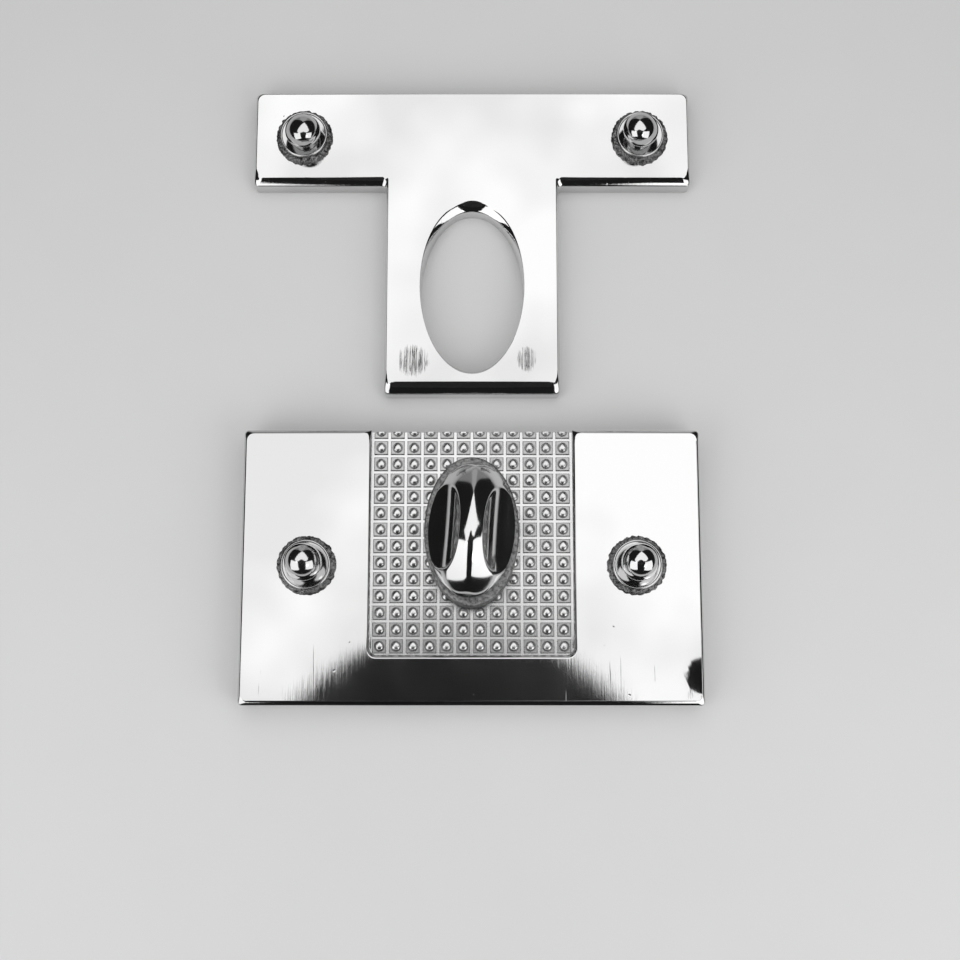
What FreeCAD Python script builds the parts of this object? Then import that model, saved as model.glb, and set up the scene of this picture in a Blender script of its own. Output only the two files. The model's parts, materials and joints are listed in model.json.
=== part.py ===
import FreeCAD, Part
import os
import re
import Sketcher
from FreeCAD import Placement, Rotation, Vector

# A two-part turn lock for a bag. The base plate carries an oval turn knob in a patterned recess.
# The T-shaped keeper plate, which sits on the flap, has an oval window that drops over the knob.
# Both halves lie side by side, face up: +X to the right, +Y from the base towards the keeper,
# +Z up, with the origin under the middle of the pair. All sizes are in millimetres.

doc = FreeCAD.newDocument("BagTwistLock")
sizes = doc.addObject("Spreadsheet::Sheet", "Sizes")

drivingSizes = [
    # base plate
    ("base_width", 50.0, "base plate, left to right"),
    ("base_depth", 30.0, "base plate, lower edge to upper edge"),
    ("base_thick", 4.0, "base plate, back to face"),
    ("recess_width", 22.0, "recess that takes the keeper's stem"),
    ("recess_drop", 1.2, "face of the base down to the top of the pattern"),
    ("recess_corner", 0.9, "corner radius of the recess"),
    ("foot_depth", 5.4, "bar of the base below the recess"),
    ("knob_inset", 13.2, "lower end of the recess to the knob's axis"),
    ("base_edge", 0.6, "polished rounding of the base's outer edges"),
    ("recess_edge", 0.3, "polished rounding of the recess's rim"),
    # keeper plate
    ("bar_width", 50.0, "crossbar of the keeper, left to right"),
    ("bar_depth", 11.3, "crossbar of the keeper, lower to upper edge"),
    ("stem_width", 19.7, "stem of the keeper"),
    ("stem_length", 24.4, "stem, free end to crossbar"),
    ("keeper_thick", 2.5, "keeper plate, back to face"),
    ("window_width", 11.9, "oval window, short way"),
    ("window_length", 18.9, "oval window, long way"),
    ("window_inset", 11.6, "free end of the stem to the window's centre"),
    ("keeper_edge", 0.9, "polished rounding of the keeper's outer edges"),
    ("window_edge", 1.0, "polished rounding of the window's rim"),
    ("plate_corner", 0.5, "corner radius of both plates seen from the front"),
    ("halves_gap", 4.4, "space between the two halves as they lie apart"),
    # embossed inlay in the recess
    ("inlay_thick", 0.55, "inlay sheet with its raised pads"),
    ("cell_pitch", 1.82, "pitch of the square pads"),
    ("groove_width", 0.36, "groove between two pads"),
    ("groove_depth", 0.25, "depth of that groove"),
    ("bead_width", 1.1, "bead on each pad, across its foot"),
    ("bead_rise", 0.2, "bead, height above its pad"),
    # turn knob, its collar and its spindle
    ("collar_width", 10.3, "oval collar, short way"),
    ("collar_length", 16.3, "oval collar, long way"),
    ("collar_edge", 0.3, "chamfer of the collar's upper edge"),
    ("knob_width", 9.3, "oval knob, short way"),
    ("knob_length", 14.6, "oval knob, long way"),
    ("knob_height", 4.6, "knob, underside to ridge"),
    ("knob_rim", 1.3, "upright rim of the knob below its dome"),
    ("ridge_width", 2.3, "grip ridge at its narrowest"),
    ("scoop_radius", 5.85, "curve of a finger scoop across the knob"),
    ("scoop_reach", 10.4, "half the length of that hollow along the knob"),
    ("scoop_lift", 2.0, "centre of the scoop's curve above the ridge"),
    ("spindle_bore", 3.1, "bore of the collar and of the base for the spindle"),
    ("spindle_socket", 2.2, "blind socket in the knob for the spindle"),
    ("washer_thick", 0.2, "thrust washer between collar and knob"),
    ("washer_width", 6.4, "thrust washer, outside"),
    # click mechanism behind the knob
    ("pocket_drop", 1.2, "height of the mechanism pocket above its cover"),
    ("cam_width", 5.2, "square detent cam, across flats"),
    ("cam_thick", 1.0, "square detent cam"),
    ("cam_corner", 0.8, "chamfer on each corner of the cam"),
    ("tang_width", 2.0, "square tang of the spindle, across flats"),
    ("tang_length", 0.6, "square tang of the spindle"),
    ("spring_thick", 0.25, "leaf spring"),
    ("spring_length", 11.6, "leaf spring"),
    ("spring_bay", 1.4, "room behind each leaf spring to flex"),
    ("bay_length", 8.4, "length of that room"),
    ("cover_width", 12.4, "mechanism cover, left to right"),
    ("cover_length", 16.2, "mechanism cover, lower to upper edge"),
    ("cover_thick", 0.5, "mechanism cover"),
    ("lug_width", 0.8, "stop lug under the cam"),
    ("lug_orbit", 1.95, "knob's axis to the stop lug"),
    ("lug_length", 0.5, "stop lug, height under the cam"),
    ("turn_angle", 90.0, "turn of the knob between its stops"),
    # small screws
    ("cam_screw_width", 1.2, "thread of the screw up into the spindle"),
    ("cam_screw_head", 2.6, "its flat head, across"),
    ("cam_screw_rise", 0.35, "its flat head, height"),
    ("cam_screw_length", 3.0, "its length overall"),
    ("cover_screw_width", 1.1, "thread of a cover screw"),
    ("cover_screw_head", 1.9, "its countersunk head"),
    ("cover_screw_length", 1.6, "its length overall"),
    ("cover_screw_inset", 1.1, "cover's edge to a cover screw"),
    # ball-headed studs with their cup washers and serrated bushes
    ("base_stud_inset", 7.15, "side of the base to its stud"),
    ("keeper_stud_inset", 5.8, "side of the crossbar to its stud"),
    ("bush_width", 6.6, "serrated bush, outside"),
    ("bush_rise", 0.7, "serrated bush, height above the plate"),
    ("spigot_width", 4.2, "spigot of the bush in the plate"),
    ("spigot_length", 1.0, "spigot of the bush in the plate"),
    ("serration_depth", 0.18, "serrations round the bush"),
    ("cup_width", 5.4, "cup washer, outside"),
    ("cup_rise", 0.5, "cup washer, height above the bush"),
    ("cup_wall", 0.3, "cup washer, wall"),
    ("ball_width", 4.0, "ball head"),
    ("ball_lift", 2.7, "plate's face to the ball's centre"),
    ("neck_width", 2.0, "neck under the ball"),
    ("seat_width", 3.1, "seat of the stud in its cup"),
    ("shank_width", 2.6, "shank of the stud through the plate"),
    ("swage_width", 3.4, "swaged end of the shank, flush with the plate's back"),
    ("swage_length", 0.4, "swaged end of the shank"),
    ("tap_width", 1.6, "tapped hole up the shank from behind"),
    ("tap_length", 2.4, "depth of that hole"),
    # clearances
    ("fixed_gap", 0.02, "gap round pieces that are fixed in each other"),
    ("running_gap", 0.05, "gap round pieces that turn"),
]

for row, (alias, number, note) in enumerate(drivingSizes, start=1):
    sizes.set(f"A{row}", alias)
    sizes.set(f"B{row}", str(number))
    sizes.set(f"C{row}", note)
    sizes.setAlias(f"B{row}", alias)
doc.recompute()
aliases = {alias for alias, number, note in drivingSizes}

serrationCount = 24
nearly = 1e-3
tiny = 1e-6


def cells(formula):
    """A formula of sheet names, written as an expression."""
    return re.sub(r"[a-z_]{2,}", lambda word: f"Sizes.{word[0]}" if word[0] in aliases else word[0], formula)


def worth(formula):
    """The present value of a formula, in mm."""
    return float(sizes.evalExpression(cells(formula)))


def bind(thing, **properties):
    for name, formula in properties.items():
        thing.setExpression(name.replace("__", "."), cells(formula))


# Heights and places that several pieces share, as formulas
lowerEdge = "(0 - (base_depth + halves_gap + stem_length + bar_depth) / 2)"
knobY = f"({lowerEdge} + foot_depth + knob_inset)"
windowY = f"({lowerEdge} + base_depth + halves_gap + window_inset)"
baseStudY = f"({lowerEdge} + base_depth / 2)"
keeperStudY = f"({lowerEdge} + base_depth + halves_gap + stem_length + bar_depth / 2)"
patternZ = "(base_thick - recess_drop)"
recessZ = f"({patternZ} - inlay_thick)"
ceilingZ = "(cover_thick + pocket_drop)"
collarZ = f"({patternZ} + keeper_thick)"
knobZ = f"({collarZ} + washer_thick + running_gap)"
camZ = f"({ceilingZ} - running_gap - cam_thick)"
springX = "(cam_width / 2 + fixed_gap)"
baseStudX = "(base_width / 2 - base_stud_inset)"
keeperStudX = "(bar_width / 2 - keeper_stud_inset)"


def place(thing, x="0", y="0", z="0"):
    bind(thing, Placement__Base__x=x, Placement__Base__y=y, Placement__Base__z=z)


def newBody(label, y="0", x="0", z="0"):
    body = doc.addObject("PartDesign::Body", label)
    body.Label = label
    place(body, x, y, z)
    return body


def originItem(body, role):
    return next(item for item in body.Origin.OriginFeatures if item.Role == role)


def newSketch(body, name, role):
    sketch = body.newObject("Sketcher::SketchObject", name)
    sketch.AttachmentSupport = [(originItem(body, role), "")]
    sketch.MapMode = "FlatFace"
    return sketch


def pin(sketch, geometry, point, x, y):
    """Holds a point of the sketch at formulas for its two coordinates."""
    for kind, formula in (("DistanceX", x), ("DistanceY", y)):
        number = sketch.addConstraint(Sketcher.Constraint(kind, -1, 1, geometry, point, worth(formula)))
        sketch.setExpression(f"Constraints[{number}]", cells(formula))


def polygon(sketch, corners):
    points = [Vector(worth(x), worth(y), 0) for x, y in corners]
    first = sketch.GeometryCount
    count = len(points)
    for i in range(count):
        sketch.addGeometry(Part.LineSegment(points[i], points[(i + 1) % count]), False)
    for i in range(count):
        sketch.addConstraint(Sketcher.Constraint("Coincident", first + i, 2, first + (i + 1) % count, 1))
    for i, (x, y) in enumerate(corners):
        pin(sketch, first + i, 1, x, y)


def rectangle(sketch, left, right, low, high):
    polygon(sketch, [(left, low), (right, low), (right, high), (left, high)])


def circle(sketch, x, y, width):
    centre = Vector(worth(x), worth(y), 0)
    number = sketch.addGeometry(Part.Circle(centre, Vector(0, 0, 1), worth(width) / 2), False)
    pin(sketch, number, 3, x, y)
    constraint = sketch.addConstraint(Sketcher.Constraint("Diameter", number, worth(width)))
    sketch.setExpression(f"Constraints[{constraint}]", cells(width))


def oval(sketch, width, length):
    """An ellipse round the sketch's origin, long along its vertical axis."""
    far = Vector(0, worth(length) / 2, 0)
    side = Vector(worth(width) / 2, 0, 0)
    number = sketch.addGeometry(Part.Ellipse(far, side, Vector(0, 0, 0)), False)
    sketch.exposeInternalGeometry(number)
    sketch.addConstraint(Sketcher.Constraint("Coincident", number, 3, -1, 1))
    sketch.addConstraint(Sketcher.Constraint("Vertical", number + 1))
    for line, formula in ((number + 1, length), (number + 2, width)):
        constraint = sketch.addConstraint(Sketcher.Constraint("Distance", line, worth(formula)))
        sketch.setExpression(f"Constraints[{constraint}]", cells(formula))


def pad(body, sketch, name, length, **settings):
    feature = body.newObject("PartDesign::Pad", name)
    feature.Profile = sketch
    bind(feature, Length=length)
    for setting, value in settings.items():
        setattr(feature, setting, value)
    doc.recompute()
    return feature


def pocket(body, sketch, name, length, upward):
    """A cut from the sketch's plane, upward or downward, that must remove something."""
    before = body.Shape.Volume
    feature = body.newObject("PartDesign::Pocket", name)
    feature.Profile = sketch
    feature.Reversed = upward
    bind(feature, Length=length)
    doc.recompute()
    if not body.Shape.Volume < before - tiny:
        raise RuntimeError(f"{name} cuts nothing from {body.Label}")
    return feature


def revolve(body, sketch, name):
    feature = body.newObject("PartDesign::Revolution", name)
    feature.Profile = sketch
    feature.ReferenceAxis = (sketch, ["V_Axis"])
    feature.Angle = 360.0
    doc.recompute()
    return feature


def edgeNames(shape, test):
    return [f"Edge{i}" for i, edge in enumerate(shape.Edges, start=1) if test(edge)]


def dress(body, kind, name, base, names, size):
    feature = body.newObject(f"PartDesign::{kind}", name)
    feature.Base = (base, names)
    if kind == "Fillet":
        bind(feature, Radius=size)
    else:
        bind(feature, Size=size)
    doc.recompute()
    return feature


def upright(edge):
    box = edge.BoundBox
    return box.ZLength > nearly and box.XLength < nearly and box.YLength < nearly


def atHeight(z):
    return lambda edge: abs(edge.BoundBox.ZMin - z) < nearly and abs(edge.BoundBox.ZMax - z) < nearly


# Base plate: cast plate with the recess in its face and the mechanism pocket in its back.
# Its own origin is on the knob's axis, at the back.
def makeBasePlate():
    body = newBody("base_plate", knobY)
    outline = newSketch(body, "BaseOutline", "XY_Plane")
    low = "0 - foot_depth - knob_inset"
    high = "base_depth - foot_depth - knob_inset"
    rectangle(outline, "0 - base_width / 2", "base_width / 2", low, high)
    blank = pad(body, outline, "BaseBlank", "base_thick")
    corners = dress(body, "Fillet", "BaseCorners", blank, edgeNames(blank.Shape, upright), "plate_corner")
    rim = edgeNames(corners.Shape, atHeight(worth("base_thick")))
    dress(body, "Fillet", "BaseEdges", corners, rim, "base_edge")

    mouth = newSketch(body, "RecessOutline", "XY_Plane")
    bind(mouth, AttachmentOffset__Base__z="base_thick")
    rectangle(mouth, "0 - recess_width / 2", "recess_width / 2", "0 - knob_inset", f"{high} + base_edge")
    recess = pocket(body, mouth, "Recess", "recess_drop + inlay_thick", False)
    cornerX = worth("recess_width / 2")
    cornerY = worth("0 - knob_inset")

    def recessCorner(edge):
        box = edge.BoundBox
        return upright(edge) and abs(abs(box.XMin) - cornerX) < nearly and abs(box.YMin - cornerY) < nearly

    sharp = edgeNames(recess.Shape, recessCorner)
    rounded = dress(body, "Fillet", "RecessCorners", recess, sharp, "recess_corner")
    topZ = worth("base_thick")

    def recessRim(edge):
        box = edge.BoundBox
        inside = abs(box.XMin) < cornerX + nearly and abs(box.XMax) < cornerX + nearly
        return atHeight(topZ)(edge) and inside and box.YMin > cornerY - nearly and box.XLength < 2 * cornerX

    dress(body, "Fillet", "RecessRim", rounded, edgeNames(rounded.Shape, recessRim), "recess_edge")

    seat = newSketch(body, "CoverSeatOutline", "XY_Plane")
    halfWidth, halfLength = "(cover_width / 2 + fixed_gap)", "(cover_length / 2 + fixed_gap)"
    rectangle(seat, f"0 - {halfWidth}", halfWidth, f"0 - {halfLength}", halfLength)
    pocket(body, seat, "CoverSeat", "cover_thick", True)

    room = newSketch(body, "MechanismOutline", "XY_Plane")
    inner = f"({springX} + spring_thick + fixed_gap)"
    outer = f"({inner} + spring_bay)"
    bay, end = "(bay_length / 2)", "(spring_length / 2 + fixed_gap)"
    quarter = [(inner, end), (inner, bay), (outer, bay)]
    cross = quarter + [(x, f"0 - {y}") for x, y in reversed(quarter)]
    cross += [(f"0 - {x}", f"0 - {y}") for x, y in quarter]
    cross += [(f"0 - {x}", y) for x, y in reversed(quarter)]
    polygon(room, cross)
    pocket(body, room, "MechanismPocket", ceilingZ, True)

    bore = newSketch(body, "SpindleBoreOutline", "XY_Plane")
    circle(bore, "0", "0", "spindle_bore")
    pocket(body, bore, "SpindleBore", "base_thick", True)

    screws = newSketch(body, "CoverScrewHoles", "XY_Plane")
    for x, y in coverScrewPlaces():
        circle(screws, x, y, "cover_screw_width + 2 * fixed_gap")
    pocket(body, screws, "CoverScrewBores", "cover_screw_length + fixed_gap", True)
    studHoles(body, baseStudX, "base_depth / 2 - foot_depth - knob_inset", "base_thick")
    return body


def coverScrewPlaces():
    x, y = "(cover_width / 2 - cover_screw_inset)", "(cover_length / 2 - cover_screw_inset)"
    return [(x, y), (f"0 - {x}", y), (f"0 - {x}", f"0 - {y}"), (x, f"0 - {y}")]


# Two stepped holes for the studs: spigot of the bush at the face, shank through, swage at the back
def studHoles(body, side, y, thick):
    name = body.Label.title().replace("_", "")
    steps = [
        ("Shank", "shank_width", "0", thick, True),
        ("Spigot", "spigot_width", thick, "spigot_length", False),
        ("Swage", "swage_width", "0", "swage_length", True),
    ]
    for step, width, z, length, upward in steps:
        sketch = newSketch(body, f"{name}{step}Outline", "XY_Plane")
        bind(sketch, AttachmentOffset__Base__z=z)
        for x in (side, f"0 - {side}"):
            circle(sketch, x, y, f"{width} + 2 * fixed_gap")
        pocket(body, sketch, f"{name}{step}Holes", length, upward)


# Keeper plate: T-shaped plate with the oval window in its stem.
# Its own origin is at the window's centre, at the back.
def makeKeeperPlate():
    body = newBody("keeper_plate", windowY)
    outline = newSketch(body, "KeeperOutline", "XY_Plane")
    foot = "(0 - window_inset)"
    shoulder = "(stem_length - window_inset)"
    top = "(stem_length - window_inset + bar_depth)"
    stem, bar = "stem_width / 2", "bar_width / 2"
    half = [(stem, foot), (stem, shoulder), (bar, shoulder), (bar, top)]
    polygon(outline, half + [(f"0 - {x}", y) for x, y in reversed(half)])
    blank = pad(body, outline, "KeeperBlank", "keeper_thick")
    corners = dress(body, "Fillet", "KeeperCorners", blank, edgeNames(blank.Shape, upright), "plate_corner")
    rim = edgeNames(corners.Shape, atHeight(worth("keeper_thick")))
    dress(body, "Fillet", "KeeperEdges", corners, rim, "keeper_edge")

    window = newSketch(body, "WindowOutline", "XY_Plane")
    oval(window, "window_width", "window_length")
    cut = pocket(body, window, "Window", "keeper_thick", True)
    reach = worth("window_length / 2") + nearly
    faceZ = worth("keeper_thick")

    def windowRim(edge):
        box = edge.BoundBox
        return atHeight(faceZ)(edge) and abs(box.YMax) < reach and abs(box.YMin) < reach

    dress(body, "Fillet", "WindowRim", cut, edgeNames(cut.Shape, windowRim), "window_edge")
    studHoles(body, keeperStudX, "stem_length - window_inset + bar_depth / 2", "keeper_thick")
    return body


# Embossed inlay: a sheet of square pads, each with a pointed bead, laid in the recess round the collar
def makeInlay():
    body = newBody("pattern_inlay", knobY, z=recessZ)
    side, low = "(recess_width / 2 - fixed_gap)", "(0 - knob_inset + fixed_gap)"
    high = "(base_depth - foot_depth - knob_inset)"
    sheetTop = "(inlay_thick - bead_rise)"
    outline = newSketch(body, "InlayOutline", "XY_Plane")
    rectangle(outline, f"0 - {side}", side, low, f"{high} + cell_pitch")
    sheet = pad(body, outline, "InlaySheet", sheetTop)

    def lowCorner(edge):
        return upright(edge) and abs(edge.BoundBox.YMin - worth(low)) < nearly

    dress(body, "Fillet", "InlayCorners", sheet, edgeNames(sheet.Shape, lowCorner), "recess_corner")
    columns = int(worth("recess_width / cell_pitch") + nearly)
    rows = int(worth("(base_depth - foot_depth) / cell_pitch") + 1)
    margin = f"((recess_width - {columns} * cell_pitch) / 2)"
    firstX = f"({margin} - recess_width / 2)"
    firstY = f"({margin} - knob_inset)"

    bead = body.newObject("PartDesign::AdditiveCone", "Bead")
    bead.AttachmentSupport = [(originItem(body, "XY_Plane"), "")]
    bead.MapMode = "FlatFace"
    bind(
        bead, Radius1="bead_width / 2", Height="bead_rise", AttachmentOffset__Base__z=sheetTop,
        AttachmentOffset__Base__x=f"{firstX} + cell_pitch / 2",
        AttachmentOffset__Base__y=f"{firstY} + cell_pitch / 2",
    )
    bead.Radius2 = 0.0
    doc.recompute()
    grid = body.newObject("PartDesign::MultiTransform", "Beads")
    grid.Originals = [bead]
    across = cellPattern(body, "BeadRow", "X_Axis", columns)
    along = cellPattern(body, "BeadRows", "Y_Axis", rows)
    grid.Transformations = [across, along]
    body.Tip = grid
    doc.recompute()

    for name, axis, count in (("Column", "X_Axis", columns), ("Row", "Y_Axis", rows)):
        sketch = newSketch(body, f"{name}GrooveOutline", "XY_Plane")
        bind(sketch, AttachmentOffset__Base__z=sheetTop)
        near, far = "(0 - groove_width / 2)", "(groove_width / 2)"
        if name == "Column":
            line = f"({firstX} + cell_pitch)"
            rectangle(sketch, f"{line} + {near}", f"{line} + {far}", low, f"{high} + cell_pitch")
        else:
            line = f"({firstY} + cell_pitch)"
            rectangle(sketch, f"0 - {side}", side, f"{line} + {near}", f"{line} + {far}")
        groove = pocket(body, sketch, f"{name}Groove", "groove_depth", False)
        grooves = cellPattern(body, f"{name}Grooves", axis, count - 1)
        body.addObject(grooves)
        grooves.Originals = [groove]
        body.Tip = grooves
        doc.recompute()

    opening = newSketch(body, "CollarOpeningOutline", "XY_Plane")
    oval(opening, "collar_width + 2 * fixed_gap", "collar_length + 2 * fixed_gap")
    pocket(body, opening, "CollarOpening", "inlay_thick", True)
    trim = newSketch(body, "InlayTrimOutline", "XY_Plane")
    rectangle(trim, f"0 - recess_width", "recess_width", high, f"{high} + 3 * cell_pitch")
    pocket(body, trim, "InlayTrim", "inlay_thick", True)


def cellPattern(body, name, axis, count):
    """A row of cells, a pitch apart, along one of the body's axes."""
    pattern = doc.addObject("PartDesign::LinearPattern", name)
    pattern.Direction = (originItem(body, axis), [""])
    pattern.Occurrences = count
    bind(pattern, Length=f"{count - 1} * cell_pitch")
    return pattern


# Oval collar: stands on the recess floor and fills the keeper's window when the lock is shut
def makeCollar():
    body = newBody("knob_collar", knobY, z=recessZ)
    outline = newSketch(body, "CollarOutline", "XY_Plane")
    oval(outline, "collar_width", "collar_length")
    blank = pad(body, outline, "CollarBlank", f"{collarZ} - {recessZ}")
    top = atHeight(worth(f"{collarZ} - {recessZ}"))
    dress(body, "Chamfer", "CollarEdge", blank, edgeNames(blank.Shape, top), "collar_edge")
    bore = newSketch(body, "CollarBoreOutline", "XY_Plane")
    circle(bore, "0", "0", "spindle_bore")
    pocket(body, bore, "CollarBore", "base_thick + keeper_thick", True)


def solid(kind, name, **properties):
    thing = doc.addObject(kind, name)
    bind(thing, **properties)
    return thing


def cylinder(name, width, height, x="0", y="0", z="0"):
    thing = solid("Part::Cylinder", name, Radius=f"({width}) / 2", Height=height)
    place(thing, x, y, z)
    return thing


def box(name, width, depth, height, x="0", y="0", z="0"):
    """A box whose middle in plan is at x, y and whose bottom is at z."""
    thing = solid("Part::Box", name, Length=width, Width=depth, Height=height)
    place(thing, f"{x} - ({width}) / 2", f"{y} - ({depth}) / 2", z)
    return thing


def cone(name, low, high, height, x="0", y="0", z="0"):
    thing = solid("Part::Cone", name, Radius1=f"({low}) / 2", Radius2=f"({high}) / 2", Height=height)
    place(thing, x, y, z)
    return thing


def fuse(name, things):
    result = doc.addObject("Part::MultiFuse", name)
    result.Shapes = things
    result.Refine = True
    return result


def cut(name, base, tool):
    result = doc.addObject("Part::Cut", name)
    result.Base, result.Tool = base, tool
    return result


def finished(thing, label, x="0", y="0", z="0"):
    thing.Label = label
    place(thing, x, y, z)
    doc.recompute()
    return thing


# Turn knob: an oval with an upright rim and a domed top, scooped on both sides to leave a grip ridge
def makeKnob():
    ellipse = solid("Part::Ellipse", "KnobOval", MajorRadius="knob_length / 2", MinorRadius="knob_width / 2")
    ellipse.Placement = Placement(Vector(0, 0, 0), Rotation(Vector(0, 0, 1), 90))
    rim = doc.addObject("Part::Extrusion", "KnobRim")
    rim.Base, rim.DirMode, rim.Dir, rim.Solid = ellipse, "Custom", Vector(0, 0, 1), True
    bind(rim, LengthFwd="knob_rim")
    dome = solid(
        "Part::Ellipsoid", "KnobDome",
        Radius1="knob_height - knob_rim", Radius2="knob_width / 2", Radius3="knob_length / 2",
    )
    dome.Angle1, dome.Angle2 = 0.0, 90.0
    place(dome, z="knob_rim")
    knob = fuse("KnobBlank", [rim, dome])
    offset = "(ridge_width / 2 + sqrt(scoop_radius ^ 2 - scoop_lift ^ 2))"
    for side, sign in (("Right", "1"), ("Left", "-1")):
        scoop = solid(
            "Part::Ellipsoid", f"{side}Scoop",
            Radius1="scoop_radius", Radius2="scoop_radius", Radius3="scoop_reach",
        )
        place(scoop, f"{sign} * {offset}", "0", "knob_height + scoop_lift")
        knob = cut(f"{side}Scooped", knob, scoop)
    socket = cylinder("KnobSocket", "spindle_bore - 2 * running_gap + 2 * fixed_gap", "spindle_socket")
    finished(cut("TurnKnob", knob, socket), "turn_knob", "0", knobY, knobZ)


# Spindle: round through collar and base, with a square tang for the cam and a tapped hole from below
def makeSpindle():
    shoulderZ = f"({camZ} + cam_thick)"
    length = f"({knobZ} + spindle_socket - fixed_gap - {shoulderZ})"
    round_ = cylinder("SpindleRound", "spindle_bore - 2 * running_gap", length, z="tang_length")
    tang = box("SpindleTang", "tang_width", "tang_width", "tang_length")
    hole = cylinder("SpindleHole", "cam_screw_width + 2 * fixed_gap", "cam_screw_length")
    spindle = cut("Spindle", fuse("SpindleBlank", [round_, tang]), hole)
    finished(spindle, "knob_spindle", "0", knobY, f"{shoulderZ} - tang_length")


def makeThrustWasher():
    ring = cylinder("WasherDisc", "washer_width", "washer_thick")
    hole = cylinder("WasherHole", "spindle_bore", "washer_thick")
    finished(cut("ThrustWasher", ring, hole), "thrust_washer", "0", knobY, collarZ)


# Detent cam: a square with cut corners on the spindle's tang, and the stop lug under it
def makeCam():
    body = newBody("detent_cam", knobY, z=camZ)
    outline = newSketch(body, "CamOutline", "XY_Plane")
    half, short = "(cam_width / 2)", "(cam_width / 2 - cam_corner)"
    right = [(short, f"0 - {half}"), (half, f"0 - {short}"), (half, short), (short, half)]
    polygon(outline, right + [(f"0 - {x}", y) for x, y in reversed(right)])
    pad(body, outline, "CamBlank", "cam_thick")
    lug = newSketch(body, "LugOutline", "XY_Plane")
    circle(lug, "lug_orbit", "0", "lug_width")
    pad(body, lug, "StopLug", "lug_length", Reversed=True)
    square = newSketch(body, "TangHoleOutline", "XY_Plane")
    side = "(tang_width / 2 + fixed_gap)"
    rectangle(square, f"0 - {side}", side, f"0 - {side}", side)
    pocket(body, square, "TangHole", "cam_thick", True)
    bore = newSketch(body, "CamScrewSeatOutline", "XY_Plane")
    circle(bore, "0", "0", "cam_screw_head + 2 * fixed_gap")
    pocket(body, bore, "CamScrewSeat", "cam_screw_rise + fixed_gap", True)


def countersunk(name, width, head, length, x="0", y="0", z="0"):
    """A countersunk screw, head down at z, shank upwards."""
    rise = f"(({head}) / 2 - ({width}) / 2)"
    shank = cylinder(f"{name}Shank", width, f"({length}) - {rise}", x, y, f"{z} + {rise}")
    return fuse(name, [cone(f"{name}Head", head, width, rise, x, y, z), shank])


def makeScrews():
    head = cylinder("CamScrewHead", "cam_screw_head", "cam_screw_rise")
    shank = cylinder("CamScrewShank", "cam_screw_width", "cam_screw_length")
    finished(fuse("CamScrew", [head, shank]), "cam_screw", "0", knobY, camZ)
    screws = []
    for i, (x, y) in enumerate(coverScrewPlaces(), start=1):
        parts = ("cover_screw_width", "cover_screw_head", "cover_screw_length")
        screws.append(countersunk(f"CoverScrew{i}", *parts, x, y))
    group = doc.addObject("Part::Compound", "CoverScrews")
    group.Links = screws
    finished(group, "cover_screws", "0", knobY)


def makeSprings():
    for side, sign in (("left", "-1"), ("right", "1")):
        x = f"{sign} * ({springX} + spring_thick / 2)"
        strip = box(f"{side.title()}Spring", "spring_thick", "spring_length", "cam_thick")
        middle = f"{x} - spring_thick / 2"
        finished(strip, f"detent_spring_{side}", middle, f"{knobY} - spring_length / 2", camZ)


# Mechanism cover: screwed flush into the back of the base, with the arc slot that stops the lug
def makeCover():
    body = newBody("mechanism_cover", knobY)
    outline = newSketch(body, "CoverOutline", "XY_Plane")
    x, y = "(cover_width / 2)", "(cover_length / 2)"
    rectangle(outline, f"0 - {x}", x, f"0 - {y}", y)
    pad(body, outline, "CoverBlank", "cover_thick")
    holes = newSketch(body, "CoverHoles", "XY_Plane")
    for x, y in coverScrewPlaces():
        circle(holes, x, y, "cover_screw_width + 2 * fixed_gap")
    bores = pocket(body, holes, "CoverBores", "cover_thick", True)

    def screwMouth(edge):
        return atHeight(0.0)(edge) and len(edge.Vertexes) == 1

    dress(
        body, "Chamfer", "CoverSinks", bores, edgeNames(bores.Shape, screwMouth),
        "cover_screw_head / 2 - cover_screw_width / 2",
    )
    slot = newSketch(body, "StopSlotOutline", "XZ_Plane")
    slot.AttachmentOffset = Placement(Vector(0, 0, 0), Rotation(Vector(0, 1, 0), worth("turn_angle") / 2))
    near = "(lug_orbit - lug_width / 2 - running_gap)"
    far = "(lug_orbit + lug_width / 2 + running_gap)"
    rectangle(slot, near, far, "0", "cover_thick")
    before = body.Shape.Volume
    groove = body.newObject("PartDesign::Groove", "StopSlot")
    groove.Profile = slot
    groove.ReferenceAxis = (slot, ["V_Axis"])
    groove.Midplane = True
    bind(groove, Angle="turn_angle * 1 deg + 2 * asin((lug_width / 2 + running_gap) / lug_orbit)")
    doc.recompute()
    if not body.Shape.Volume < before - tiny:
        raise RuntimeError("the stop slot cuts nothing")


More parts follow.
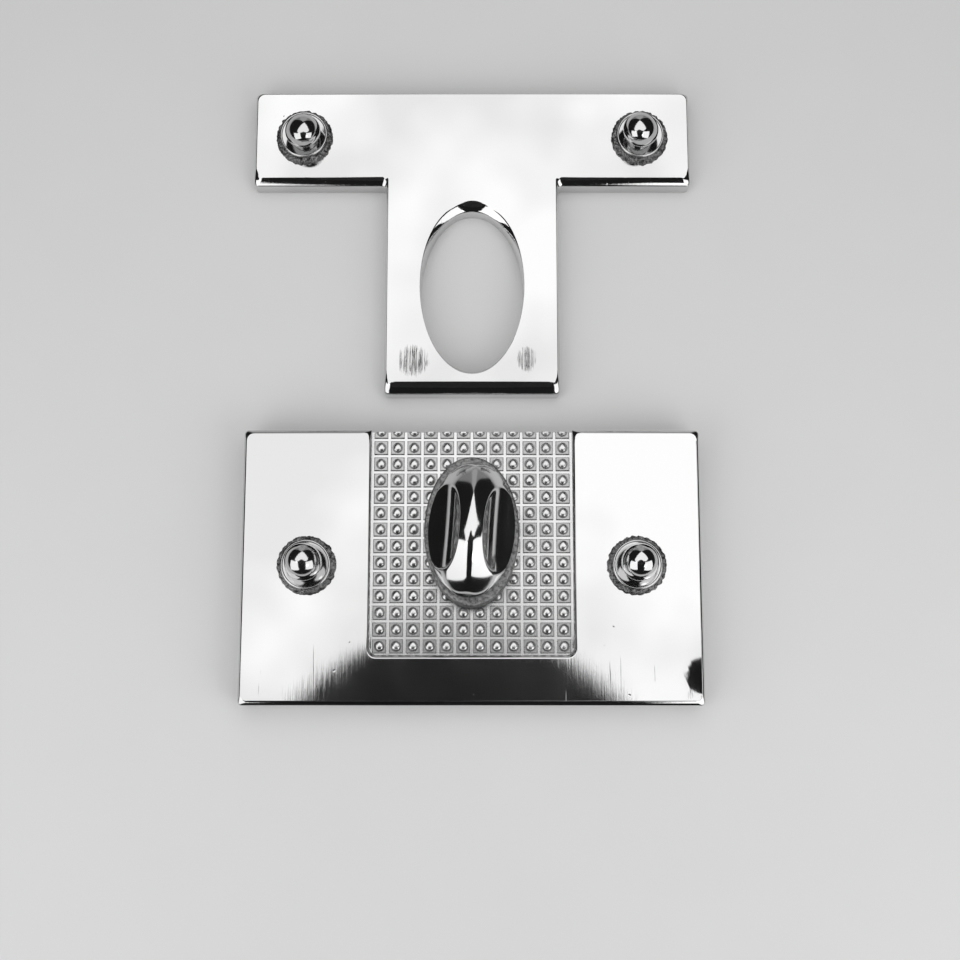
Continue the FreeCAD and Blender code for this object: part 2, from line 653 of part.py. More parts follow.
# One stud: serrated bush pressed into the plate, dished cup washer on it, ball-headed stud through both
def makeStud(half, side, x, y, thick):
    name = f"{half.title()}{side.title()}"
    bush = newBody(f"{half}_bush_{side}", y, x)
    profile = newSketch(bush, f"{name}BushProfile", "XZ_Plane")
    inner, spigot, outer = "(shank_width / 2 + fixed_gap)", "(spigot_width / 2)", "(bush_width / 2)"
    low, top = f"({thick} - spigot_length + fixed_gap)", f"({thick} + bush_rise)"
    polygon(profile, [
        (inner, low), (spigot, low), (spigot, thick), (outer, thick),
        (outer, f"{top} - serration_depth"), (f"{outer} - serration_depth", top), (inner, top),
    ])
    revolve(bush, profile, f"{name}BushBlank")
    notch = newSketch(bush, f"{name}NotchOutline", "XY_Plane")
    bind(notch, AttachmentOffset__Base__z=top)
    polygon(notch, [
        (f"{outer} - serration_depth", "0"), (f"{outer} + serration_depth", "0 - 2 * serration_depth"),
        (f"{outer} + serration_depth", "2 * serration_depth"),
    ])
    first = pocket(bush, notch, f"{name}Notch", "bush_rise", False)
    ring = bush.newObject("PartDesign::PolarPattern", f"{name}Serrations")
    ring.Originals = [first]
    ring.Axis = (originItem(bush, "Z_Axis"), [""])
    ring.Occurrences = serrationCount
    bush.Tip = ring
    doc.recompute()

    cup = newBody(f"{half}_cup_washer_{side}", y, x, f"{thick} + bush_rise")
    dish = newSketch(cup, f"{name}CupProfile", "XZ_Plane")
    rim, lip = "(cup_width / 2)", "(cup_width / 2 - cup_wall)"
    floor = "(seat_width / 2)"
    polygon(dish, [
        (inner, "0"), (f"{rim} - cup_wall / 2", "0"), (rim, "cup_wall / 2"), (rim, "cup_rise - cup_wall / 3"),
        (f"{rim} - cup_wall / 3", "cup_rise"), (f"{lip} + cup_wall / 6", "cup_rise"),
        (lip, "cup_rise - cup_wall / 4"), (floor, "cup_wall"), (inner, "cup_wall"),
    ])
    revolve(cup, dish, f"{name}Cup")

    seatZ = f"({thick} + bush_rise + cup_wall)"
    ballZ = f"({thick} + ball_lift)"
    ball = solid("Part::Sphere", f"{name}Ball", Radius="ball_width / 2")
    place(ball, z=ballZ)
    neck = cylinder(f"{name}Neck", "neck_width", f"{ballZ} - {seatZ}", z=seatZ)
    flare = cone(f"{name}Flare", "seat_width", "neck_width", "(seat_width - neck_width) / 2", z=seatZ)
    shank = cylinder(f"{name}Shank", "shank_width", seatZ)
    swage = cylinder(f"{name}Swage", "swage_width", "swage_length - fixed_gap")
    hole = cylinder(f"{name}TapHole", "tap_width", "tap_length")
    stud = cut(f"{name}Stud", fuse(f"{name}StudBlank", [ball, neck, flare, shank, swage]), hole)
    finished(stud, f"{half}_ball_stud_{side}", x, y)


makeBasePlate()
makeInlay()
makeCollar()
makeKnob()
makeSpindle()
makeThrustWasher()
makeCam()
makeSprings()
makeCover()
makeScrews()
makeKeeperPlate()
for side, sign in (("left", "-1"), ("right", "1")):
    makeStud("base", side, f"{sign} * {baseStudX}", baseStudY, "base_thick")
    makeStud("keeper", side, f"{sign} * {keeperStudX}", keeperStudY, "keeper_thick")
doc.recompute()

nodes = [
    "base_plate", "pattern_inlay", "knob_collar", "thrust_washer", "turn_knob", "knob_spindle",
    "detent_cam", "cam_screw", "detent_spring_left", "detent_spring_right", "mechanism_cover",
    "cover_screws", "keeper_plate",
]
for half in ("base", "keeper"):
    for side in ("left", "right"):
        nodes += [f"{half}_{piece}_{side}" for piece in ("bush", "cup_washer", "ball_stud")]

for thing in doc.Objects:
    if "Invalid" in thing.State or "Error" in thing.State:
        raise RuntimeError(f"{thing.Name} failed: {thing.State}")
os.makedirs("parts", exist_ok=True)
for label in nodes:
    shape = doc.getObjectsByLabel(label)[0].Shape
    if shape.isNull() or not shape.isValid():
        raise RuntimeError(f"{label} has no valid shape")
    shape.exportStep(f"parts/{label}.step")
    print(label, len(shape.Solids), "solids", round(shape.Volume), "cubic mm")
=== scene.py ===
import json
from math import atan2, cos, exp, pi, radians, sin, sqrt, tan

import bmesh
import bpy
from mathutils import Matrix, Vector, noise


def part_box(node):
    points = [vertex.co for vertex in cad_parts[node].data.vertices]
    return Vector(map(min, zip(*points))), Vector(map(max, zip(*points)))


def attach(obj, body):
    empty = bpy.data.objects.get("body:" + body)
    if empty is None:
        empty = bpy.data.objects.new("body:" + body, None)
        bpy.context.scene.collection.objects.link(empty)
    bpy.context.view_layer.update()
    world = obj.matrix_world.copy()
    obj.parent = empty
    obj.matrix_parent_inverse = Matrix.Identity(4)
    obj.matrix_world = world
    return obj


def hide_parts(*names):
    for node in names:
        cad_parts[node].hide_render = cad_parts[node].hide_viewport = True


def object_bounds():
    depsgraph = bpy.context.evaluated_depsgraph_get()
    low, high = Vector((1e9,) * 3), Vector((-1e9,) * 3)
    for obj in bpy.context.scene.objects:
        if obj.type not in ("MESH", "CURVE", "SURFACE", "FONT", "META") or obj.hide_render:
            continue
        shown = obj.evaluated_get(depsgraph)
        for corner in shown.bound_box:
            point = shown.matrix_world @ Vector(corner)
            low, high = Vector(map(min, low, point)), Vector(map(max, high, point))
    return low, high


# A two-part turn lock for a bag, plated and mirror polished, lying face up on pale card.
# Sizes in the dictionaries are millimetres; places come from the frame.
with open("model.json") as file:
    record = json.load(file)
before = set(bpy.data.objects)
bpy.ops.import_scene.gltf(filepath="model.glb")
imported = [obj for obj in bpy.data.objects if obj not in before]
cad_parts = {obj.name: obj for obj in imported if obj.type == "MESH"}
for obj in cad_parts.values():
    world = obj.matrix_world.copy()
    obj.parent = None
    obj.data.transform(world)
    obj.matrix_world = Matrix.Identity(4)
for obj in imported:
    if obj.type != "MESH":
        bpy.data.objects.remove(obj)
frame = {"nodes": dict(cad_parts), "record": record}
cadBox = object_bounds()
mm = 0.001
print("frame loaded")


# An sRGB hex colour as the linear one that shaders take
def linear(hexColour):
    channels = [int(hexColour[i:i + 2], 16) / 255 for i in (1, 3, 5)]
    return [c / 12.92 if c <= 0.04045 else ((c + 0.055) / 1.055) ** 2.4 for c in channels] + [1.0]


def addNode(tree, kind, settings=None, links=None):
    node = tree.nodes.new(kind)
    for name, value in (settings or {}).items():
        if isinstance(name, int) or name in node.inputs:
            node.inputs[name].default_value = value
        else:
            setattr(node, name, value)
    for name, source in (links or {}).items():
        tree.links.new(source, node.inputs[name])
    return node


def newMaterial(name):
    material = bpy.data.materials.new(name)
    material.use_nodes = True
    tree = material.node_tree
    return material, tree, tree.nodes["Principled BSDF"]


# Puts a finished bmesh, already in metres, into the scene
def newObject(name, bm):
    mesh = bpy.data.meshes.new(name)
    bm.to_mesh(mesh)
    bm.free()
    made = bpy.data.objects.new(name, mesh)
    bpy.context.scene.collection.objects.link(made)
    return made


# Camera: where the photograph was taken from, almost straight above the lower edge of the base
camera = {
    "place": (0.9, -37.26, 160.05), "tilt": 9.67, "lens": 54.375, "sensor": 36.0, "clip": 5.0,
}
cameraData = bpy.data.cameras.new("camera")
cameraData.lens = camera["lens"]
cameraData.sensor_width = camera["sensor"]
cameraData.clip_start = camera["clip"] * mm
cameraObject = bpy.data.objects.new("camera", cameraData)
cameraObject.location = Vector(camera["place"]) * mm
cameraObject.rotation_euler = (radians(camera["tilt"]), 0, 0)
bpy.context.scene.collection.objects.link(cameraObject)
bpy.context.scene.camera = cameraObject
bpy.context.scene.view_settings.view_transform = "Standard"

# Studio: pale card, a large soft panel overhead, a soft box each side, a small lamp, the lens,
# and a dark room behind them with a grey backdrop
studio = {
    "floorColour": "#D7D7D7", "floorSize": 6000.0, "floorGap": 0.02,
    "ambient": 0.42,
    "skyColour": "#D0D0D0",
    "roomColour": "#1E1E1E",
    "backdropColour": "#8E8E8E", "wedgeColour": "#B2B2B2",
    "backdropHeight": 0.62, "backdropSpread": 0.72,  # slopes, seen from the middle of the part
    "backdropEdge": (1.02, 0.95), "wedgeEdge": (0.3, 0.2),  # from where each fades in, and full
    "target": (0.0, -5.0, 4.0),
    "lamps": {
        "leftPanel": {
            "place": (-118.0, -98.0, 94.0), "side": 146.0, "turn": 45.0, "radiance": 1.45,
        },
        "rightPanel": {
            "place": (120.0, -98.0, 94.0), "side": 146.0, "turn": 45.0, "radiance": 1.45,
        },
        "smallLamp": {"place": (54.0, -82.0, 88.0), "side": 26.0, "turn": 45.0, "radiance": 1.8},
    },
    "farPanel": {
        "outline": (
            (-56, -40), (56, -40), (92, -48), (150, 14), (12, 225), (-146, -4), (-114, -82),
        ),
        "height": 182.0, "radiance": 1.30,
    },
    "lensHood": {"radius": 48.0, "shift": (-4.5, -27.0, 5.0), "colour": "#1C1C1C"},
}


def makeFloor():
    bm = bmesh.new()
    bmesh.ops.create_grid(bm, x_segments=1, y_segments=1, size=studio["floorSize"] / 2 * mm)
    floor = newObject("floor", bm)
    floor.location.z = cadBox[0][2] - studio["floorGap"] * mm
    card, tree, shader = newMaterial("paleCard")  # smooth coated card, a faint mottle and no gloss
    coords = addNode(tree, "ShaderNodeTexCoord")
    mottle = addNode(
        tree, "ShaderNodeTexNoise", {"Scale": 1 / (11.11 * mm), "Detail": 4.0},
        {"Vector": coords.outputs["Object"]},
    )
    tint = addNode(
        tree, "ShaderNodeMapRange", {"To Min": 0.985, "To Max": 1.015},
        {"Value": mottle.outputs["Fac"]},
    )
    colour = addNode(
        tree, "ShaderNodeVectorMath", {"operation": "SCALE", 0: linear(studio["floorColour"])[:3]},
        {"Scale": tint.outputs["Result"]},
    )
    tree.links.new(colour.outputs["Vector"], shader.inputs["Base Color"])
    shader.inputs["Roughness"].default_value = 0.9
    shader.inputs["Specular IOR Level"].default_value = 0.1
    floor.data.materials.append(card)


# The camera sees a pale sky, the metal mirrors the dark room, and the rest is lit by an even
# ambient light. The backdrop in the room is a triangle, wide at the floor, with a paler middle.
def makeWorld():
    world = bpy.data.worlds.new("room")
    bpy.context.scene.world = world
    world.use_nodes = True
    tree = world.node_tree
    coords = addNode(tree, "ShaderNodeTexCoord")
    split = addNode(
        tree, "ShaderNodeSeparateXYZ", {}, {"Vector": coords.outputs["Generated"]},
    )
    sideways = addNode(
        tree, "ShaderNodeMath", {"operation": "ABSOLUTE"}, {0: split.outputs["X"]},
    )
    ahead = addNode(
        tree, "ShaderNodeMath", {"operation": "MAXIMUM", 1: 0.001}, {0: split.outputs["Y"]},
    )
    aside = addNode(
        tree, "ShaderNodeMath", {"operation": "DIVIDE"},
        {0: sideways.outputs["Value"], 1: ahead.outputs["Value"]},
    )
    up = addNode(
        tree, "ShaderNodeMath", {"operation": "DIVIDE", 1: studio["backdropHeight"]},
        {0: split.outputs["Z"]},
    )
    reach = addNode(
        tree, "ShaderNodeMath", {"operation": "MULTIPLY_ADD", 1: 1 / studio["backdropSpread"]},
        {0: aside.outputs["Value"], 2: up.outputs["Value"]},
    )
    outside, inside = studio["backdropEdge"]
    there = addNode(
        tree, "ShaderNodeMapRange", {"From Min": outside, "From Max": inside},
        {"Value": reach.outputs["Value"]},
    )
    outside, inside = studio["wedgeEdge"]
    wedge = addNode(
        tree, "ShaderNodeMapRange", {"From Min": outside, "From Max": inside},
        {"Value": aside.outputs["Value"]},
    )
    backdrop, paler = linear(studio["backdropColour"]), linear(studio["wedgeColour"])
    grey = addNode(
        tree, "ShaderNodeMix", {"data_type": "RGBA", 6: backdrop, 7: paler},
        {0: wedge.outputs["Result"]},
    )
    seen = addNode(
        tree, "ShaderNodeMix", {"data_type": "RGBA", 6: linear(studio["roomColour"])},
        {0: there.outputs["Result"], 7: grey.outputs[2]},
    )
    rays = addNode(tree, "ShaderNodeLightPath")
    ambient = [studio["ambient"]] * 3 + [1.0]
    glossy = addNode(
        tree, "ShaderNodeMix", {"data_type": "RGBA", 6: ambient},
        {0: rays.outputs["Is Glossy Ray"], 7: seen.outputs[2]},
    )
    colour = addNode(
        tree, "ShaderNodeMix", {"data_type": "RGBA", 7: linear(studio["skyColour"])},
        {0: rays.outputs["Is Camera Ray"], 6: glossy.outputs[2]},
    )
    tree.links.new(colour.outputs[2], tree.nodes["Background"].inputs["Color"])


def makeLamps():
    for name, lamp in studio["lamps"].items():
        light = bpy.data.lights.new(name, "AREA")
        light.shape = "SQUARE"
        light.size = lamp["side"] * mm
        light.energy = lamp["radiance"] * pi * light.size ** 2
        lampObject = bpy.data.objects.new(name, light)
        lampObject.location = Vector(lamp["place"]) * mm
        towards = Vector(studio["target"]) - Vector(lamp["place"])
        turn = Matrix.Rotation(radians(lamp["turn"]), 3, "Z")
        lampObject.rotation_euler = (
            towards.to_track_quat("-Z", "Y").to_matrix() @ turn
        ).to_euler()
        bpy.context.scene.collection.objects.link(lampObject)


# The far panel hangs level over the keeper: its lower part is narrow and wraps the lens
def makeFarPanel():
    panel = studio["farPanel"]
    bm = bmesh.new()
    verts = [bm.verts.new((x * mm, y * mm, 0)) for x, y in panel["outline"]]
    bmesh.ops.contextual_create(bm, geom=verts)
    bmesh.ops.recalc_face_normals(bm, faces=bm.faces)
    cloth = newObject("farPanel", bm)
    cloth.location.z = panel["height"] * mm
    cloth.visible_camera = False
    glow, tree, shader = newMaterial("softboxCloth")
    shader.inputs["Base Color"].default_value = linear("#000000")
    shader.inputs["Emission Color"].default_value = linear("#FFFFFF")
    shader.inputs["Emission Strength"].default_value = panel["radiance"]
    cloth.data.materials.append(glow)


# The dark front of the lens, which the polished faces mirror
def makeLensHood():
    lens = studio["lensHood"]
    bm = bmesh.new()
    bmesh.ops.create_circle(bm, cap_ends=True, segments=64, radius=lens["radius"] * mm)
    hood = newObject("lensHood", bm)
    hood.location = (Vector(camera["place"]) + Vector(lens["shift"])) * mm
    hood.visible_camera = False
    hood.visible_diffuse = False
    hood.visible_shadow = False
    black, tree, shader = newMaterial("lensBlack")
    shader.inputs["Base Color"].default_value = linear(lens["colour"])
    shader.inputs["Roughness"].default_value = 0.8
    hood.data.materials.append(black)


makeFloor()
makeWorld()
makeLamps()
makeFarPanel()
makeLensHood()
print("studio set up")

# Polished plating: a hard mirror over a cast plate that was linished along Y and buffed by hand.
# Fine lines along Y, a slow waviness, a few scratches and pits, and a breath of smear in the gloss.
polish = {
    "cloudSize": 16.0, "smearSize": 6.0, "waveSize": 9.0, "pitSpacing": 2.6,
    "lineWidth": 0.35, "lineStretch": 0.03,
    "scratchWidth": 0.5, "scratchStretch": 0.045, "scratchAngles": (28.0, -41.0),
    "glossSpread": 2.2,  # the smeared places are this many times as rough as the clear ones
    "rubbed": 0.3,  # roughness that a worn patch adds
}


# wave, line, scratch and pit are the depths of those marks
def polishedMetal(name, colour, dullColour, roughness, wave, line, scratch, pit, worn=()):
    material, tree, shader = newMaterial(name)
    shader.inputs["Metallic"].default_value = 1.0
    place = addNode(tree, "ShaderNodeTexCoord").outputs["Object"]
    clouds = addNode(
        tree, "ShaderNodeTexNoise", {"Scale": 1 / (polish["cloudSize"] * mm), "Detail": 2.0},
        {"Vector": place},
    )
    tones = addNode(tree, "ShaderNodeValToRGB", {}, {"Fac": clouds.outputs["Fac"]})
    dull, clear = tones.color_ramp.elements
    dull.position, dull.color = 0.38, linear(dullColour)
    clear.position, clear.color = 0.60, linear(colour)
    tree.links.new(tones.outputs["Color"], shader.inputs["Base Color"])
    smear = addNode(
        tree, "ShaderNodeTexNoise",
        {"Scale": 1 / (polish["smearSize"] * mm), "Detail": 5.0, "Roughness": 0.6},
        {"Vector": place},
    )
    roughest = roughness * polish["glossSpread"]
    gloss = addNode(
        tree, "ShaderNodeMapRange",
        {"From Min": 0.3, "From Max": 0.75, "To Min": roughness, "To Max": roughest},
        {"Value": smear.outputs["Fac"]},
    )
    waves = addNode(
        tree, "ShaderNodeTexNoise", {"Scale": 1 / (polish["waveSize"] * mm), "Detail": 1.0},
        {"Vector": place},
    )
    bump = addNode(
        tree, "ShaderNodeBump", {"Strength": 1.0, "Distance": wave * mm},
        {"Height": waves.outputs["Fac"]},
    )
    stretch = addNode(
        tree, "ShaderNodeMapping", {"Scale": (1.0, polish["lineStretch"], 1.0)}, {"Vector": place},
    )
    lines = addNode(
        tree, "ShaderNodeTexNoise",
        {"Scale": 1 / (polish["lineWidth"] * mm), "Detail": 4.0, "Roughness": 0.7},
        {"Vector": stretch.outputs["Vector"]},
    )
    bump = addNode(
        tree, "ShaderNodeBump", {"Strength": 1.0, "Distance": line * mm},
        {"Height": lines.outputs["Fac"], "Normal": bump.outputs["Normal"]},
    )
    for angle in polish["scratchAngles"]:
        turn = addNode(
            tree, "ShaderNodeMapping",
            {"Rotation": (0.0, 0.0, radians(angle)), "Scale": (1.0, polish["scratchStretch"], 1.0)},
            {"Vector": place},
        )
        marks = addNode(
            tree, "ShaderNodeTexNoise",
            {"Scale": 1 / (polish["scratchWidth"] * mm), "Detail": 2.0},
            {"Vector": turn.outputs["Vector"]},
        )
        cuts = addNode(
            tree, "ShaderNodeMapRange", {"From Min": 0.70, "From Max": 0.74},
            {"Value": marks.outputs["Fac"]},
        )
        bump = addNode(
            tree, "ShaderNodeBump", {"Strength": 1.0, "Distance": scratch * mm, "invert": True},
            {"Height": cuts.outputs["Result"], "Normal": bump.outputs["Normal"]},
        )
    cells = addNode(
        tree, "ShaderNodeTexVoronoi", {"Scale": 1 / (polish["pitSpacing"] * mm)},
        {"Vector": place},
    )
    pits = addNode(
        tree, "ShaderNodeMapRange", {"From Min": 0.02, "From Max": 0.06},
        {"Value": cells.outputs["Distance"]},
    )
    bump = addNode(
        tree, "ShaderNodeBump", {"Strength": 1.0, "Distance": pit * mm},
        {"Height": pits.outputs["Result"], "Normal": bump.outputs["Normal"]},
    )
    rough = gloss.outputs["Result"]
    for x, y, reachX, reachY, depth in worn:
        local = addNode(
            tree, "ShaderNodeMapping",
            {
                "vector_type": "TEXTURE", "Location": (x * mm, y * mm, 0.0),
                "Scale": (reachX * mm, reachY * mm, 1.0),
            },
            {"Vector": place},
        )
        away = addNode(
            tree, "ShaderNodeVectorMath", {"operation": "LENGTH"}, {0: local.outputs["Vector"]},
        )
        near = addNode(
            tree, "ShaderNodeMapRange",
            {"interpolation_type": "SMOOTHSTEP", "From Min": 1.0, "From Max": 0.25},
            {"Value": away.outputs["Value"]},
        )
        streaks = addNode(
            tree, "ShaderNodeMapRange", {"From Min": 0.42, "From Max": 0.56},
            {"Value": lines.outputs["Fac"]},
        )
        rub = addNode(
            tree, "ShaderNodeMath", {"operation": "MULTIPLY"},
            {0: near.outputs["Result"], 1: streaks.outputs["Result"]},
        )
        rough = addNode(
            tree, "ShaderNodeMath", {"operation": "MULTIPLY_ADD", 1: polish["rubbed"]},
            {0: rub.outputs["Value"], 2: rough},
        ).outputs["Value"]
        bump = addNode(
            tree, "ShaderNodeBump", {"Strength": 1.0, "Distance": depth * mm},
            {"Height": rub.outputs["Value"], "Normal": bump.outputs["Normal"]},
        )
    tree.links.new(rough, shader.inputs["Roughness"])
    tree.links.new(bump.outputs["Normal"], shader.inputs["Normal"])
    return material


# Plated but never polished: the grain of the casting shows, dull and pitted, with painted shade
# darkening its hollows
def castMetal(name, colour, hollowShadeColour, roughness, grain, depth):
    material, tree, shader = newMaterial(name)
    shader.inputs["Metallic"].default_value = 1.0
    coords = addNode(tree, "ShaderNodeTexCoord")
    lumps = addNode(
        tree, "ShaderNodeTexNoise",
        {"Scale": 1 / (grain * mm), "Detail": 6.0, "Roughness": 0.65},
        {"Vector": coords.outputs["Object"]},
    )
    tones = addNode(tree, "ShaderNodeValToRGB", {}, {"Fac": lumps.outputs["Fac"]})
    # The ramp's dark end is painted shade in the grain's hollows, where the bump sinks
    hollow, raised = tones.color_ramp.elements
    hollow.position, hollow.color = 0.36, linear(hollowShadeColour)
    raised.position, raised.color = 0.58, linear(colour)
    bump = addNode(
        tree, "ShaderNodeBump", {"Strength": 1.0, "Distance": depth * mm},
        {"Height": lumps.outputs["Fac"]},
    )
    gloss = addNode(
        tree, "ShaderNodeMapRange", {"To Min": roughness * 1.3, "To Max": roughness * 0.7},
        {"Value": lumps.outputs["Fac"]},
    )
    tree.links.new(tones.outputs["Color"], shader.inputs["Base Color"])
    tree.links.new(gloss.outputs["Result"], shader.inputs["Roughness"])
    tree.links.new(bump.outputs["Normal"], shader.inputs["Normal"])
    return material


# Embossed sheet: the pads keep a dull skin, the grooves and the rubbed bead tops are bright.
# skin gives four heights from the pads' level: from where the skin begins, is full, thins and ends.
emboss = {"skin": (-0.07, -0.03, 0.02, 0.17), "grain": 0.16, "mottle": (0.6, 1.4)}


def embossedMetal(name, colour, padColour, roughness, padZ):
    material = polishedMetal(
        name, colour, colour, roughness, wave=0.001, line=0.0008, scratch=0.0005, pit=0.002,
    )
    tree = material.node_tree
    shader = tree.nodes["Principled BSDF"]
    coords = addNode(tree, "ShaderNodeTexCoord")
    split = addNode(tree, "ShaderNodeSeparateXYZ", {}, {"Vector": coords.outputs["Object"]})
    begins, full, thins, ends = ((padZ + height) * mm for height in emboss["skin"])
    above = addNode(
        tree, "ShaderNodeMapRange", {"From Min": begins, "From Max": full},
        {"Value": split.outputs["Z"]},
    )
    below = addNode(
        tree, "ShaderNodeMapRange", {"From Min": ends, "From Max": thins},
        {"Value": split.outputs["Z"]},
    )
    pad = addNode(
        tree, "ShaderNodeMath", {"operation": "MULTIPLY"},
        {0: above.outputs["Result"], 1: below.outputs["Result"]},
    )
    grain = addNode(
        tree, "ShaderNodeTexNoise", {"Scale": 1 / (emboss["grain"] * mm), "Detail": 3.0},
        {"Vector": coords.outputs["Object"]},
    )
    least, most = emboss["mottle"]
    mottle = addNode(
        tree, "ShaderNodeMapRange", {"To Min": least, "To Max": most},
        {"Value": grain.outputs["Fac"]},
    )
    share = addNode(
        tree, "ShaderNodeMath", {"operation": "MULTIPLY", "use_clamp": True},
        {0: pad.outputs["Value"], 1: mottle.outputs["Result"]},
    )
    tone = addNode(
        tree, "ShaderNodeMix", {"data_type": "RGBA", 6: linear(colour), 7: linear(padColour)},
        {0: share.outputs["Value"]},
    )
    tree.links.new(tone.outputs[2], shader.inputs["Base Color"])
    return material


# Rolled or turned steel with a satin face: fine lines along Y and a soft sheen
def satinSteel(name, colour, roughness, lineWidth, lineStretch):
    material, tree, shader = newMaterial(name)
    shader.inputs["Base Color"].default_value = linear(colour)
    shader.inputs["Metallic"].default_value = 1.0
    coords = addNode(tree, "ShaderNodeTexCoord")
    stretch = addNode(
        tree, "ShaderNodeMapping", {"Scale": (1.0, lineStretch, 1.0)},
        {"Vector": coords.outputs["Object"]},
    )
    lines = addNode(
        tree, "ShaderNodeTexNoise",
        {"Scale": 1 / (lineWidth * mm), "Detail": 4.0, "Roughness": 0.7},
        {"Vector": stretch.outputs["Vector"]},
    )
    gloss = addNode(
        tree, "ShaderNodeMapRange", {"To Min": roughness * 0.7, "To Max": roughness * 1.3},
        {"Value": lines.outputs["Fac"]},
    )
    bump = addNode(
        tree, "ShaderNodeBump", {"Strength": 1.0, "Distance": 0.004 * mm},
        {"Height": lines.outputs["Fac"]},
    )
    tree.links.new(gloss.outputs["Result"], shader.inputs["Roughness"])
    tree.links.new(bump.outputs["Normal"], shader.inputs["Normal"])
    return material


beadRise = 0.2  # of the inlay's beads above its pads
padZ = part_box("pattern_inlay")[1].z / mm - beadRise
# Places on the plates that the buffing wheel missed: (x, y, reach in x, reach in y, depth)
wornPatches = (
    (-6.6, 3.1, 2.3, 2.3, 0.06), (6.1, 3.3, 1.4, 2.0, 0.05), (15.5, 17.6, 1.2, 0.6, 0.01),
)
finishes = {
    "polished_plate": polishedMetal(
        "polishedNickelPlate", "#E0E0E0", "#CDCDCD", roughness=0.035,
        wave=0.014, line=0.0032, scratch=0.002, pit=0.008, worn=wornPatches,
    ),
    "polished_knob": polishedMetal(
        "polishedNickelKnob", "#DADADA", "#C8C8C8", roughness=0.055,
        wave=0.016, line=0.0018, scratch=0.0012, pit=0.003,
    ),
    "polished_stud": polishedMetal(
        "brightTurnedNickel", "#D0D0D0", "#C4C4C4", roughness=0.06,
        wave=0.002, line=0.0006, scratch=0.0005, pit=0.002,
    ),
    "embossed_sheet": embossedMetal(
        "embossedNickelSheet", "#DADADA", "#ADADAD", roughness=0.16, padZ=padZ,
    ),
    # The second colour of each cast finish is painted shade for the hollows of its grain
    "cast_collar": castMetal(
        "castNickel", "#A8A8A8", "#5E5E5E", roughness=0.42, grain=0.30, depth=0.10,
    ),
    "rough_bush": castMetal(
        "roughPlatedBush", "#9C9C9C", "#303030", roughness=0.34, grain=0.22, depth=0.10,
    ),
    "spring_steel": satinSteel(
        "temperedSpringSteel", "#A9A9AA", roughness=0.28, lineWidth=0.06, lineStretch=0.04,
    ),
    "plated_steel": satinSteel(
        "zincPlatedSteel", "#BDBEC0", roughness=0.34, lineWidth=0.10, lineStretch=0.15,
    ),
}
slotOf = {part["node"]: part["material_slot"] for part in frame["record"]["subparts"]}
bodies = frame["record"]["behaviour"]["bodies"]
bodyOf = {node: body for body, members in bodies.items() for node in members}
for nodeName, node in frame["nodes"].items():
    node.data.materials.clear()
    node.data.materials.append(finishes[slotOf[nodeName]])
print("finishes made")


# Turns a bmesh into the piece that stands for a CAD node
def finishPiece(bm, nodeName, sharpAngle=35.0):
    bmesh.ops.recalc_face_normals(bm, faces=bm.faces)
    bmesh.ops.scale(bm, verts=bm.verts, vec=Vector((mm, mm, mm)))
    piece = newObject(f"{nodeName}_finished", bm)
    piece.data.shade_smooth()
    piece.data.set_sharp_from_angle(angle=radians(sharpAngle))
    piece.data.materials.append(finishes[slotOf[nodeName]])
    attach(piece, bodyOf[nodeName])
    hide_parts(nodeName)
    return piece


# The lowest and the highest corner of a CAD node's box, in millimetres
def cornersOf(nodeName):
    return [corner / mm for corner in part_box(nodeName)]


def middle(nodeName):
    low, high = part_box(nodeName)
    return (low + high) / 2 / mm


# A closed loop of edges at height z, with each corner rounded by its own radius
def roundedLoop(bm, corners, radii, z, segments=6):
    before = set(bm.faces)
    verts = [bm.verts.new((x, y, z)) for x, y in corners]
    bm.faces.new(verts)
    for vert, radius in zip(verts, radii):
        if radius > 0:
            bmesh.ops.bevel(
                bm, geom=[vert], affect="VERTICES", offset=radius, segments=segments,
                profile=0.5, material=-1,
            )
    face = (set(bm.faces) - before).pop()
    loop = list(face.edges)
    bmesh.ops.delete(bm, geom=[face], context="FACES_ONLY")
    return loop


# Joins a loop to a rounded one at height z. They are bridged well apart, as nested loops twist.
def joinLoop(bm, last, corners, radii, z, apart=8.0):
    loop = roundedLoop(bm, corners, radii, z + apart)
    bmesh.ops.bridge_loops(bm, edges=last + loop)
    for vert in {vert for edge in loop for vert in edge.verts}:
        vert.co.z = z
    return loop


# An oval loop of edges at height z
def ovalLoop(bm, centre, halfWidth, halfLength, z, segments=96):
    made = bmesh.ops.create_circle(bm, cap_ends=False, segments=segments, radius=1.0)
    for vert in made["verts"]:
        x, y = centre[0] + vert.co.x * halfWidth, centre[1] + vert.co.y * halfLength
        vert.co = Vector((x, y, z))
    return list({edge for vert in made["verts"] for edge in vert.link_edges})


# Extrudes a loop and moves the new one to height z, scaled in plan about a centre
def stepLoop(bm, loop, centre, scale, z):
    made = bmesh.ops.extrude_edge_only(bm, edges=loop)["geom"]
    for vert in (item for item in made if isinstance(item, bmesh.types.BMVert)):
        vert.co.x = centre[0] + (vert.co.x - centre[0]) * scale[0]
        vert.co.y = centre[1] + (vert.co.y - centre[1]) * scale[1]
        vert.co.z = z
    return [item for item in made if isinstance(item, bmesh.types.BMEdge)]


def fill(bm, *loops):
    edges = [edge for loop in loops for edge in loop]
    made = bmesh.ops.triangle_fill(
        bm, use_beauty=True, use_dissolve=False, edges=edges, normal=(0, 0, 1),
    )
    return {item for item in made["geom"] if isinstance(item, bmesh.types.BMFace)}


# The corners of an outline moved inwards, each side by its own distance
def insetCorners(corners, distances):
    moved = []
    count = len(corners)
    for i, (x, y) in enumerate(corners):
        shift = Vector((0.0, 0.0))
        for a, b in ((i - 1, i), (i, (i + 1) % count)):
            along = (Vector(corners[b]) - Vector(corners[a])).normalized()
            shift += Vector((-along.y, along.x)) * distances[a]
        moved.append((x + shift.x, y + shift.y))
    return moved


